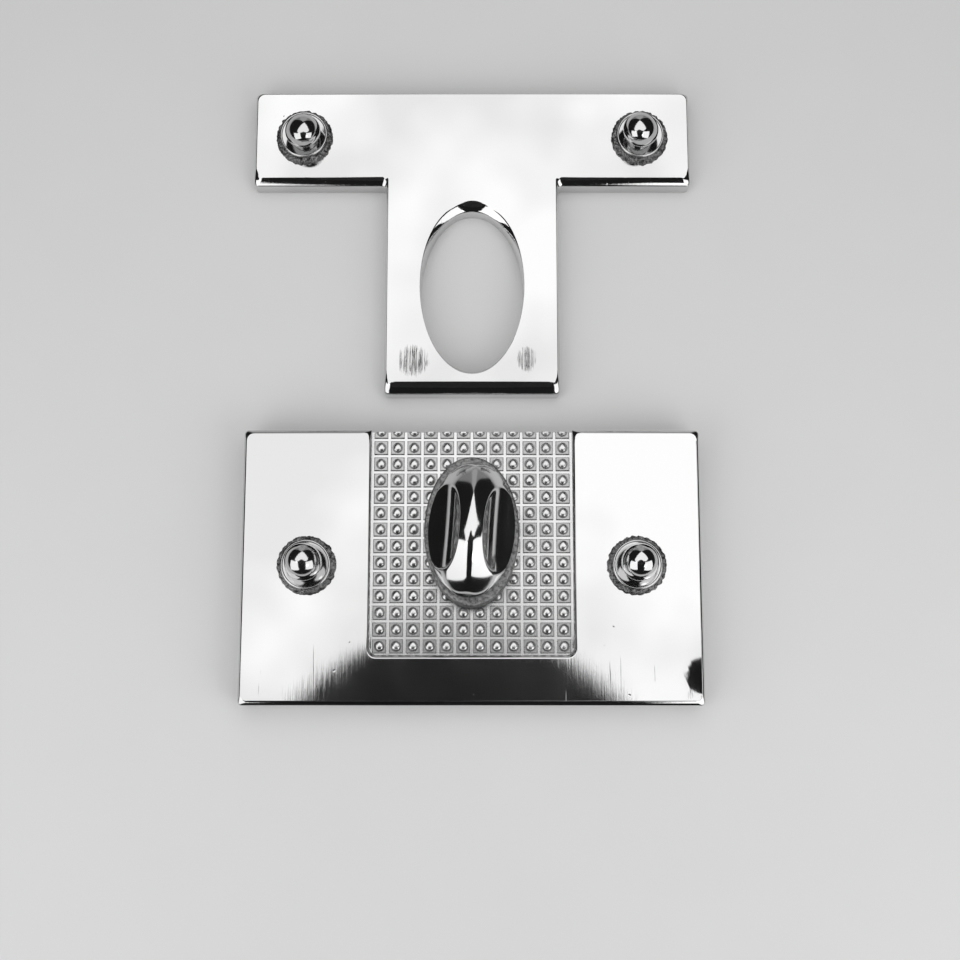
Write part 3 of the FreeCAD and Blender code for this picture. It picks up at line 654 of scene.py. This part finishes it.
# Polished edge in section, from the wall up to the face: how far in it is, and how steep there.
# A short tight round leads into a long soft bevel, as a buffing wheel leaves it.
rollProfile = (
    (0.0, 84), (0.02, 74), (0.06, 54), (0.12, 41), (0.2, 34), (0.3, 31), (0.4, 29),
    (0.5, 26), (0.6, 24), (0.7, 21), (0.8, 18), (0.88, 13), (0.95, 7), (1.0, 0),
)


# The same as (share of the width, distance past it, share of the drop). The last is a narrow
# flat ring, which keeps the shading of the edge off the face.
def rollSteps(ring):
    fallen = [0.0]
    for (near, steep), (far, gentle) in zip(rollProfile, rollProfile[1:]):
        fallen.append(fallen[-1] + (far - near) * tan(radians((steep + gentle) / 2)))
    steps = [
        (inward, 0.0, 1 - height / fallen[-1])
        for (inward, slope), height in zip(rollProfile, fallen)
    ]
    return steps + [(1.0, ring, 0.0)]


# Loops up a plate's wall and over its polished edge, with a width for every side and a radius
# for every corner, at the wall and at the face. Returns the lowest and the innermost loop.
def rolledEdge(bm, corners, plate, lowZ, faceZ, ring=0.06):
    wallRadii = plate["wallRadii"]
    first = roundedLoop(bm, corners, wallRadii, lowZ)
    last = first
    for share, past, lower in rollSteps(ring):
        inset = insetCorners(corners, [width * share + past for width in plate["rollWidths"]])
        radii = [wall + (face - wall) * share for wall, face in zip(wallRadii, plate["faceRadii"])]
        last = joinLoop(bm, last, inset, radii, faceZ - lower * plate["rollDrop"])
    return first, last


# A net over a face, which evens its shading and can carry a hollow
def netFace(bm, faces, low, high, pitch):
    for axis, across in enumerate((Vector((1, 0, 0)), Vector((0, 1, 0)))):
        at = low[axis] + pitch
        while at < high[axis]:
            geom = list(faces) + list({edge for face in faces for edge in face.edges})
            geom += list({vert for face in faces for vert in face.verts})
            cut = bmesh.ops.bisect_plane(bm, geom=geom, plane_co=across * at, plane_no=across)
            faces = {item for item in cut["geom"] if isinstance(item, bmesh.types.BMFace)}
            at += pitch


# Lowers a plate by a slow hollow, as hand buffing leaves it: (x, y, reach in x, reach in y, depth)
def buff(bm, hollow, lowZ, faceZ):
    x, y, reachX, reachY, depth = hollow
    for vert in bm.verts:
        height = (vert.co.z - lowZ) / (faceZ - lowZ)
        if height > 0:
            away = ((vert.co.x - x) / reachX) ** 2 + ((vert.co.y - y) / reachY) ** 2
            vert.co.z -= depth * exp(-away) * height


# Stepped bore for a stud, from the plate's back to its face: swage, shank, then bush spigot
studBore = {
    "swage": 1.72, "swageDepth": 0.4, "shank": 1.32, "spigot": 2.12, "spigotDepth": 1.0,
    "segments": 32,
}


def makeStudBore(bm, x, y, faceZ):
    centre = (x, y)
    swage, shank, spigot = studBore["swage"], studBore["shank"], studBore["spigot"]
    swageZ, spigotZ = studBore["swageDepth"], faceZ - studBore["spigotDepth"]
    first = ovalLoop(bm, centre, swage, swage, 0.0, studBore["segments"])
    loop = stepLoop(bm, first, centre, (1, 1), swageZ)
    loop = stepLoop(bm, loop, centre, (shank / swage, shank / swage), swageZ)
    loop = stepLoop(bm, loop, centre, (1, 1), spigotZ)
    loop = stepLoop(bm, loop, centre, (spigot / shank, spigot / shank), spigotZ)
    return first, stepLoop(bm, loop, centre, (1, 1), faceZ)


# Both bores of a plate: their loops at the back and at the face
def makeStudBores(bm, half, faceZ):
    backHoles, faceHoles = [], []
    for side in ("left", "right"):
        stud = middle(f"{half}_ball_stud_{side}")
        first, last = makeStudBore(bm, stud.x, stud.y, faceZ)
        backHoles.append(first)
        faceHoles.append(last)
    return backHoles, faceHoles


# Base plate. Widths and radii run from the lower edge round to the left; the recess is the
# middle three. The seat in the back takes the cover, and the cross-shaped pocket over it takes
# the cam and its springs.
base = {
    "rollWidths": (0.5, 0.35, 0.45, 0.32, 0.35, 0.24, 0.45, 0.35), "rollDrop": 0.5,
    "wallRadii": (0.5, 0.5, 0.5, 0.02, 0.9, 0.9, 0.02, 0.5),
    "faceRadii": (0.7, 0.7, 0.8, 1.3, 1.0, 1.0, 1.3, 0.8), "backEdge": 0.15,
    "recessWidth": 22.0, "footDepth": 5.4, "floorZ": 2.25,
    "seatHalf": (6.22, 8.12), "seatDepth": 0.5,
    "pocketCross": ((2.89, 5.82), (2.89, 4.2), (4.29, 4.2)), "pocketTop": 1.7,
    "boreRadius": 1.55, "boreSegments": 32,
    "netPitch": 0.7,
    "hollow": (25.0, -34.6, 2.6, 3.6, 0.42),
}


def makeBasePlate():
    bm = bmesh.new()
    low, high = cornersOf("base_plate")
    side = base["recessWidth"] / 2
    foot = low.y + base["footDepth"]
    corners = [
        (low.x, low.y), (high.x, low.y), (high.x, high.y), (side, high.y),
        (side, foot), (-side, foot), (-side, high.y), (low.x, high.y),
    ]
    wall, face = rolledEdge(bm, corners, base, base["floorZ"], high.z)
    widest, lowest = side + 0.021, low.y + 0.1  # the recess's edges lie between these
    recess = [
        edge for edge in wall
        if abs((edge.verts[0].co.x + edge.verts[1].co.x) / 2) <= widest
        and (edge.verts[0].co.y + edge.verts[1].co.y) / 2 > lowest
    ]
    mouthVerts = sorted(
        (vert for edge in recess for vert in edge.verts if abs(vert.co.y - high.y) < 0.001),
        key=lambda vert: vert.co.x,
    )
    mouth = bm.edges.new((mouthVerts[0], mouthVerts[-1]))
    outside = [edge for edge in wall if edge not in recess] + [mouth]
    backEdge = base["backEdge"]
    skirt = stepLoop(bm, outside, (0, 0), (1, 1), backEdge)
    centre = (0.0, (low.y + high.y) / 2)
    narrower = 1 - 2 * backEdge / (high.x - low.x), 1 - 2 * backEdge / (high.y - low.y)
    back = stepLoop(bm, skirt, centre, narrower, 0.0)
    axisY = middle("turn_knob").y
    axis = (0.0, axisY)
    halfX, halfY = base["seatHalf"]
    signs = ((-1, -1), (1, -1), (1, 1), (-1, 1))
    rectangle = [(x * halfX, y * halfY + axisY) for x, y in signs]
    seat = roundedLoop(bm, rectangle, [0] * 4, 0.0)
    seatTop = stepLoop(bm, seat, axis, (1, 1), base["seatDepth"])
    quarter = list(base["pocketCross"])
    cross = quarter + [(x, -y) for x, y in reversed(quarter)]
    cross += [(-x, -y) for x, y in quarter] + [(-x, y) for x, y in reversed(quarter)]
    cross = [(x, y + axisY) for x, y in cross]
    pocket = roundedLoop(bm, cross, [0] * len(cross), base["seatDepth"])
    fill(bm, seatTop, pocket)
    pocketTop = stepLoop(bm, pocket, axis, (1, 1), base["pocketTop"])
    bore = ovalLoop(
        bm, axis, base["boreRadius"], base["boreRadius"], base["pocketTop"], base["boreSegments"],
    )
    fill(bm, pocketTop, bore)
    boreTop = stepLoop(bm, bore, axis, (1, 1), base["floorZ"])
    fill(bm, recess, [mouth], boreTop)
    backHoles, faceHoles = makeStudBores(bm, "base", high.z)
    fill(bm, back, seat, *backHoles)
    top = fill(bm, face, *faceHoles)
    netFace(bm, top, low, high, base["netPitch"])
    buff(bm, base["hollow"], base["floorZ"], high.z)
    finishPiece(bm, "base_plate")


# Keeper plate: T-shaped, with the oval window. Widths run from the stem's free end round to
# the left. The window's rim is widest at its top.
keeper = {
    "rollWidths": (1.55, 0.3, 1.25, 0.3, 0.3, 0.3, 1.25, 0.3), "rollDrop": 0.9,
    "wallRadii": (0.5,) * 8,
    "faceRadii": (1.2, 1.2, 0.6, 1.0, 0.8, 0.8, 1.0, 0.6), "backEdge": 0.12,
    "stemWidth": 19.7, "barDepth": 11.3,
    "windowWidth": 11.5, "windowLength": 18.7, "windowInset": 12.0,
    "rim": {"top": 1.5, "bottom": 0.4, "side": 0.16, "drop": 0.95, "ring": 0.08},
    "netPitch": 0.6,
}


# The window's loops, from the back up and over its rim. Returns the lowest and the outermost.
def makeWindow(bm, lowY, faceZ):
    rim = keeper["rim"]
    halfWidth, halfLength = keeper["windowWidth"] / 2, keeper["windowLength"] / 2
    windowY = lowY + keeper["windowInset"]
    first = ovalLoop(bm, (0.0, windowY), halfWidth, halfLength, 0.0)
    top, bottom = rim["top"], rim["bottom"]
    focus = (0.0, windowY - halfLength * (top - bottom) / (top + bottom))
    last = first
    wider, longer = 1.0, 1.0
    for share, past, lower in rollSteps(rim["ring"]):
        nextWider = 1 + (share * rim["side"] + past) / halfWidth
        nextLonger = 1 + (share * (top + bottom) / 2 + past) / halfLength
        scale = (nextWider / wider, nextLonger / longer)
        last = stepLoop(bm, last, focus, scale, faceZ - lower * rim["drop"])
        wider, longer = nextWider, nextLonger
    return first, last


def makeKeeperPlate():
    bm = bmesh.new()
    low, high = cornersOf("keeper_plate")
    stem = keeper["stemWidth"] / 2
    shoulder = high.y - keeper["barDepth"]
    corners = [
        (-stem, low.y), (stem, low.y), (stem, shoulder), (high.x, shoulder),
        (high.x, high.y), (low.x, high.y), (low.x, shoulder), (-stem, shoulder),
    ]
    wall, face = rolledEdge(bm, corners, keeper, keeper["backEdge"], high.z)
    backCorners = insetCorners(corners, [keeper["backEdge"]] * len(corners))
    back = joinLoop(bm, wall, backCorners, keeper["wallRadii"], 0.0)
    windowBack, windowFace = makeWindow(bm, low.y, high.z)
    backHoles, faceHoles = makeStudBores(bm, "keeper", high.z)
    fill(bm, back, windowBack, *backHoles)
    top = fill(bm, face, windowFace, *faceHoles)
    netFace(bm, top, low, high, keeper["netPitch"])
    finishPiece(bm, "keeper_plate")


makeBasePlate()
makeKeeperPlate()
print("plates made")

# Embossed inlay: square pads in rows, each with a round bead in a shallow moat
inlay = {
    "pitch": 1.82, "padSide": 1.5, "padEdge": 0.07, "draft": 0.03, "grooveDepth": 0.22,
    "beadRadius": 0.52, "beadSegments": 12, "beadRings": (0.80, 0.52, 0.24),
    "moatRadius": 0.6, "moatDepth": 0.05,
    "columns": 12, "rows": 14, "margin": 0.06,
    "play": 0.02, "cutHeights": (2.0, 4.0),  # the hole for the collar
}


# One pad with its bead and half of the groove round it, its top at height 0
def makeCell(bm):
    radius = inlay["beadRadius"]
    made = bmesh.ops.create_circle(
        bm, cap_ends=False, segments=inlay["beadSegments"], radius=radius,
    )
    foot = list({edge for vert in made["verts"] for edge in vert.link_edges})
    for vert in made["verts"]:
        vert.co.z = -inlay["moatDepth"]
    loop = foot
    before = 1.0
    for share in inlay["beadRings"]:
        rise = beadRise * (1 - share ** 4)
        loop = stepLoop(bm, loop, (0, 0), (share / before, share / before), rise)
        before = share
    tip = bmesh.ops.contextual_create(bm, geom=loop)["faces"]
    bmesh.ops.poke(bm, faces=tip)
    tipVert = max(bm.verts, key=lambda vert: (vert.co.z, -vert.co.xy.length))
    tipVert.co.z = beadRise
    wide = inlay["moatRadius"] / radius
    last = stepLoop(bm, foot, (0, 0), (wide, wide), 0.0)
    half, edge, floor = inlay["padSide"] / 2, inlay["padEdge"], -inlay["grooveDepth"]
    squares = (
        (half - edge, 0.0), (half, -edge), (half + inlay["draft"], floor),
        (inlay["pitch"] / 2, floor),
    )
    for reach, z in squares:
        corners = [(-reach, -reach), (reach, -reach), (reach, reach), (-reach, reach)]
        last = joinLoop(bm, last, corners, [0] * 4, z)


def makeInlay():
    bm = bmesh.new()
    low, high = cornersOf("pattern_inlay")
    makeCell(bm)
    bmesh.ops.recalc_face_normals(bm, faces=bm.faces)
    cell = list(bm.verts) + list(bm.edges) + list(bm.faces)
    pitch = inlay["pitch"]
    for row in range(inlay["rows"]):
        for column in range(inlay["columns"]):
            if row or column:
                copy = bmesh.ops.duplicate(bm, geom=cell)["geom"]
                verts = [item for item in copy if isinstance(item, bmesh.types.BMVert)]
                bmesh.ops.translate(bm, verts=verts, vec=Vector((column, row, 0)) * pitch)
    start = Vector((low.x, low.y, padZ)) + Vector((1, 1, 0)) * (inlay["margin"] + pitch / 2)
    bmesh.ops.translate(bm, verts=bm.verts, vec=start)
    bmesh.ops.remove_doubles(bm, verts=bm.verts, dist=0.01)
    bmesh.ops.bisect_plane(
        bm, geom=bm.verts[:] + bm.edges[:] + bm.faces[:], plane_co=(0, high.y, 0),
        plane_no=(0, 1, 0), clear_outer=True,
    )
    border = [edge for edge in bm.edges if edge.is_boundary]
    stepLoop(bm, border, (0, 0), (1, 1), low.z)
    bmesh.ops.remove_doubles(bm, verts=bm.verts, dist=0.005)
    bmesh.ops.dissolve_degenerate(bm, dist=0.001, edges=bm.edges)
    under = [edge for edge in bm.edges if edge.is_boundary]
    bottom = bmesh.ops.contextual_create(bm, geom=under)["faces"]
    bmesh.ops.triangulate(bm, faces=bottom)
    return finishPiece(bm, "pattern_inlay", sharpAngle=28.0)


# A temporary mesh object that cuts a piece, used up at once
def cutWith(piece, cutter):
    difference = piece.modifiers.new("cut", "BOOLEAN")
    difference.operation = "DIFFERENCE"
    difference.solver = "EXACT"
    difference.object = cutter
    bpy.context.view_layer.update()
    graph = bpy.context.evaluated_depsgraph_get()
    mesh = bpy.data.meshes.new_from_object(piece.evaluated_get(graph))
    piece.modifiers.remove(difference)
    old = piece.data
    piece.data = mesh
    bpy.data.meshes.remove(old)
    bpy.data.objects.remove(cutter)


def ovalCutter(centre, halfWidth, halfLength, lowZ, highZ):
    bm = bmesh.new()
    loop = ovalLoop(bm, centre, halfWidth, halfLength, lowZ)
    bmesh.ops.contextual_create(bm, geom=loop)
    top = stepLoop(bm, loop, centre, (1, 1), highZ)
    bmesh.ops.contextual_create(bm, geom=top)
    bmesh.ops.recalc_face_normals(bm, faces=bm.faces)
    bmesh.ops.scale(bm, verts=bm.verts, vec=Vector((mm, mm, mm)))
    return newObject("cutter", bm)


collarLow, collarHigh = cornersOf("knob_collar")
collarCentre = (0.0, (collarLow.y + collarHigh.y) / 2)
collarHalf = ((collarHigh.x - collarLow.x) / 2, (collarHigh.y - collarLow.y) / 2)
holeHalf = [half + inlay["play"] for half in collarHalf]
cutWith(makeInlay(), ovalCutter(collarCentre, *holeHalf, *inlay["cutHeights"]))
print("inlay made")

# Collar under the knob: plated as cast, with a rough skin and a worn edge. The skin is smooth
# round the bore and grows rough from smoothTo outwards.
collar = {
    "edge": 0.3, "boreRadius": 1.55, "rough": 0.05, "grain": 0.5, "smoothTo": 3.6,
    "around": 144, "wallRings": 8, "edgeRings": 4, "topRings": 8,
}


def makeCollar():
    bm = bmesh.new()
    halfX, halfY = collarHalf
    lowZ, highZ, edge = collarLow.z, collarHigh.z, collar["edge"]
    first = ovalLoop(bm, collarCentre, halfX, halfY, lowZ, collar["around"])
    loop = first
    width, length = halfX, halfY
    wallTop = highZ - edge
    for i in range(collar["wallRings"]):
        z = lowZ + (wallTop - lowZ) * (i + 1) / collar["wallRings"]
        loop = stepLoop(bm, loop, collarCentre, (1, 1), z)
    for i in range(1, collar["edgeRings"] + 1):
        angle = pi / 2 * i / collar["edgeRings"]
        inset = edge * (1 - cos(angle))
        slim, short = halfX - inset, halfY - inset
        scale = (slim / width, short / length)
        loop = stepLoop(bm, loop, collarCentre, scale, wallTop + edge * sin(angle))
        width, length = slim, short
    for i in range(1, collar["topRings"] + 1):
        share = i / collar["topRings"]
        slim = halfX - edge - share * (halfX - edge - collar["boreRadius"])
        short = halfY - edge - share * (halfY - edge - collar["boreRadius"])
        loop = stepLoop(bm, loop, collarCentre, (slim / width, short / length), highZ)
        width, length = slim, short
    bore = stepLoop(bm, loop, collarCentre, (1, 1), lowZ)
    fill(bm, first, bore)
    for vert in bm.verts:
        out = Vector((vert.co.x, vert.co.y - collarCentre[1], 0))
        spread = min(1.0, max(0.0, out.length - collar["smoothTo"]))
        if vert.co.z > lowZ + 0.01 and spread > 0:
            rough = (noise.noise(vert.co / collar["grain"]) * 0.5 - 0.5) * collar["rough"] * spread
            vert.co += out.normalized() * rough
            if vert.co.z > highZ - 0.05:
                vert.co.z += rough
    finishPiece(bm, "knob_collar", sharpAngle=60.0)


makeCollar()

# Turn knob: an oval dome hollowed on both sides by a long cove, so that a grip ridge stands
# along it. A narrow sloping band runs round its foot.
knob = {
    "rim": 1.3, "arc": 1.6, "crown": 0.3, "crownEase": 1.2,
    "ridgeHalf": 1.15, "scoopRadius": 5.85, "scoopReach": 25.0, "scoopLift": 1.45, "soft": 0.16,
    "band": 1.05, "bandSlope": 1.45, "bandSoft": 0.06,
    "rimEdge": 0.14, "rimSegments": 4, "underEdge": 0.15, "across": 132, "along": 116,
    "socket": 1.52, "socketDepth": 2.2, "socketSegments": 32,
    "turned": -4.0,  # as in the photograph, a few degrees off square by the play in its springs
}


def smoothMin(a, b, soft):
    blend = max(soft - abs(a - b), 0.0) / soft
    return min(a, b) - blend * blend * soft / 4


def knobHeight(x, y, halfX, halfY, height):
    away = min(1.0, (x / halfX) ** 2 + (y / halfY) ** 2)
    arc, foot = knob["arc"], sqrt(knob["arc"] ** 2 - 1)
    z = knob["rim"] + (height - knob["rim"]) * (sqrt(arc ** 2 - away) - foot) / (arc - foot)
    z -= knob["crown"] * x * x / (1 + knob["crownEase"] * x * x)
    out = sqrt(x * x + y * y)
    fromEdge = out / sqrt(away) - out if away > 0 else halfX
    z = smoothMin(z, knob["band"] + knob["bandSlope"] * fromEdge, knob["bandSoft"])
    radius, lift = knob["scoopRadius"], knob["scoopLift"]
    offset = knob["ridgeHalf"] + sqrt(radius ** 2 - lift ** 2)
    reach = 1 - ((abs(x) - offset) / radius) ** 2 - (y / knob["scoopReach"]) ** 2
    if reach > 0:
        z = smoothMin(z, height + lift - radius * sqrt(reach), knob["soft"])
    return z


def makeKnob():
    bm = bmesh.new()
    low, high = cornersOf("turn_knob")
    centre = (low + high) / 2
    axis = (centre.x, centre.y)
    halfX, halfY = (high.x - low.x) / 2, (high.y - low.y) / 2
    height = high.z - low.z
    bmesh.ops.create_grid(bm, x_segments=knob["across"], y_segments=knob["along"], size=1.0)
    border = [edge for edge in bm.edges if edge.is_boundary]
    for vert in bm.verts:  # the square grid becomes an oval one
        u, v = sin(vert.co.x * pi / 2), sin(vert.co.y * pi / 2)
        x = u * sqrt(1 - v * v / 2) * halfX
        y = v * sqrt(1 - u * u / 2) * halfY
        z = low.z + knobHeight(x, y, halfX, halfY, height)
        vert.co = Vector((centre.x + x, centre.y + y, z))
    stepLoop(bm, border, axis, (1, 1), low.z + knob["underEdge"])
    bmesh.ops.bevel(
        bm, geom=border, affect="EDGES", offset=knob["rimEdge"], segments=knob["rimSegments"],
        profile=0.5, material=-1, clamp_overlap=True,
    )
    slim = (halfX - knob["underEdge"]) / halfX, (halfY - knob["underEdge"]) / halfY
    wall = [edge for edge in bm.edges if edge.is_boundary]
    under = stepLoop(bm, wall, axis, slim, low.z)
    socket = ovalLoop(bm, axis, knob["socket"], knob["socket"], low.z, knob["socketSegments"])
    fill(bm, under, socket)
    socketTop = stepLoop(bm, socket, axis, (1, 1), low.z + knob["socketDepth"])
    bmesh.ops.contextual_create(bm, geom=socketTop)
    turned = Matrix.Rotation(radians(knob["turned"]), 3, "Z")
    bmesh.ops.rotate(bm, verts=bm.verts, cent=Vector((*axis, 0)), matrix=turned)
    finishPiece(bm, "turn_knob", sharpAngle=50.0)


makeKnob()
print("collar and knob made")


# Spins a section, given as (radius, height) pairs, round a stud's axis
def spinSection(bm, section, centre, steps=64):
    verts = [bm.verts.new((radius, 0, z)) for radius, z in section]
    edges = [bm.edges.new(pair) for pair in zip(verts, verts[1:])]
    bmesh.ops.spin(
        bm, geom=verts + edges, cent=(0, 0, 0), axis=(0, 0, 1), dvec=(0, 0, 0), angle=2 * pi,
        steps=steps, use_merge=True,
    )
    bmesh.ops.remove_doubles(bm, verts=bm.verts, dist=0.001)
    bmesh.ops.translate(bm, verts=bm.verts, vec=(centre.x, centre.y, 0))


# Stud: a ball head on a flared neck, with its shank swaged at the back and tapped from there.
# lean is how far each head stands off upright, in x and y, for a rise of one.
stud = {
    "neck": 1.0, "seat": 1.55, "seatEdge": 0.06, "flare": 0.55, "flareSteps": 5,
    "shank": 1.3, "swage": 1.7, "swageDepth": 0.38, "tap": 0.8, "tapDepth": 2.4,
    "ballSteps": 24, "sleevePlay": 0.02,
    "lean": {
        "base_left": (-0.05, 0.06), "base_right": (0.05, 0.05),
        "keeper_left": (0.05, -0.15), "keeper_right": (-0.08, -0.08),
    },
}
# Cup washer under the head: a dish with a round lip, its floor this far above its underside
cup = {"floor": 0.3, "lip": 0.13, "lipSteps": 6, "foot": 0.2, "footRise": 0.14, "dish": 1.6}
# Bush under that, pressed into the plate by its spigot: cast rough, with worn teeth round it
bush = {
    "stands": 0.7, "spigot": 2.1, "steps": 120, "wallShare": 0.72, "draft": 0.02, "round": 0.5,
    "topInset": 1.0, "boreInset": 0.3, "skin": 0.75,
    "serrations": 24, "serration": 0.07, "lump": 0.20, "lumpGrain": 0.42, "dent": 0.35,
}


def makeBallStud(half, side):
    name = f"{half}_ball_stud_{side}"
    low, high = cornersOf(name)
    neck, seat, shank, swage = stud["neck"], stud["seat"], stud["shank"], stud["swage"]
    seatZ = cornersOf(f"{half}_cup_washer_{side}")[0].z + cup["floor"]
    neckZ = seatZ + stud["seatEdge"]
    radius = (high.x - low.x) / 2
    ballZ = high.z - radius
    section = [
        (0, stud["tapDepth"]), (stud["tap"], stud["tapDepth"]), (stud["tap"], 0), (swage, 0),
        (swage, stud["swageDepth"]), (shank, stud["swageDepth"]), (shank, seatZ),
        (seat, seatZ), (seat, neckZ),
    ]
    for i in range(1, stud["flareSteps"] + 1):
        angle = pi / 2 * i / stud["flareSteps"]
        rise = stud["flare"] * (1 - cos(angle))
        section.append((neck + (seat - neck) * (1 - sin(angle)), neckZ + rise))
    startAngle = atan2(neck, -sqrt(radius ** 2 - neck ** 2))
    for i in range(stud["ballSteps"] + 1):
        angle = startAngle * (1 - i / stud["ballSteps"])
        section.append((radius * sin(angle), ballZ + radius * cos(angle)))
    bm = bmesh.new()
    spinSection(bm, section, middle(name))
    leanX, leanY = stud["lean"][f"{half}_{side}"]
    for vert in bm.verts:
        above = max(0.0, vert.co.z - seatZ)
        vert.co.x += leanX * above
        vert.co.y += leanY * above
    finishPiece(bm, name, sharpAngle=40.0)


def makeCupWasher(half, side):
    name = f"{half}_cup_washer_{side}"
    low, high = cornersOf(name)
    outer = (high.x - low.x) / 2
    inner = stud["shank"] + stud["sleevePlay"]
    floorZ, lip = low.z + cup["floor"], cup["lip"]
    section = [
        (inner, floorZ), (inner, low.z), (outer - cup["foot"], low.z),
        (outer, low.z + cup["footRise"]),
    ]
    for i in range(cup["lipSteps"] + 1):
        angle = pi * i / cup["lipSteps"]
        section.append((outer - lip + lip * cos(angle), high.z - lip + lip * sin(angle)))
    within = outer - 2 * lip
    for i in range(1, cup["lipSteps"] + 1):
        share = i / cup["lipSteps"]
        z = floorZ + (high.z - lip - floorZ) * (1 - share) ** cup["dish"]
        section.append((within - share * (within - stud["seat"]), z))
    section.append((inner, floorZ))
    bm = bmesh.new()
    spinSection(bm, section, middle(name))
    finishPiece(bm, name, sharpAngle=50.0)


def makeBush(half, side, seed):
    name = f"{half}_bush_{side}"
    low, high = cornersOf(name)
    centre = middle(name)
    outer = (high.x - low.x) / 2
    inner = stud["shank"] + stud["sleevePlay"]
    spigot, rise, wall = bush["spigot"], bush["stands"], bush["wallShare"]
    faceZ = high.z - rise
    section = [(inner, high.z), (inner, low.z), (spigot, low.z), (spigot, faceZ), (outer, faceZ)]
    for i in range(1, 5):
        section.append((outer - bush["draft"] * i, faceZ + rise * wall * i / 4))
    wallTop = outer - bush["draft"] * 4
    for i in range(1, 5):
        angle = pi / 2 * i / 4
        z = faceZ + rise * (wall + (1 - wall) * sin(angle))
        section.append((wallTop - bush["round"] * (1 - cos(angle)), z))
    section += [
        (outer - bush["topInset"], high.z), (inner + bush["boreInset"], high.z), (inner, high.z),
    ]
    bm = bmesh.new()
    spinSection(bm, section, centre, steps=bush["steps"])
    for vert in bm.verts:
        out = Vector((vert.co.x - centre.x, vert.co.y - centre.y, 0))
        if out.length > outer - bush["skin"] and vert.co.z > faceZ - 0.01:
            around = atan2(out.y, out.x)
            tooth = abs(sin(around * bush["serrations"] / 2)) - 1.0
            place = vert.co / bush["lumpGrain"] + Vector((seed * 7.3, 0, 0))
            lump = noise.noise(place) * 0.6 + noise.noise(place * 2.3) * 0.4 - 0.35
            vert.co += out.normalized() * (tooth * bush["serration"] + lump * bush["lump"])
            if vert.co.z > faceZ + 0.2:
                vert.co.z += min(0.0, noise.noise(place * 1.7) - 0.2) * bush["dent"]
    finishPiece(bm, name, sharpAngle=60.0)


places = [(half, side) for half in ("base", "keeper") for side in ("left", "right")]
for seed, (half, side) in enumerate(places, start=1):
    makeBallStud(half, side)
    makeCupWasher(half, side)
    makeBush(half, side, seed)
print("studs made")
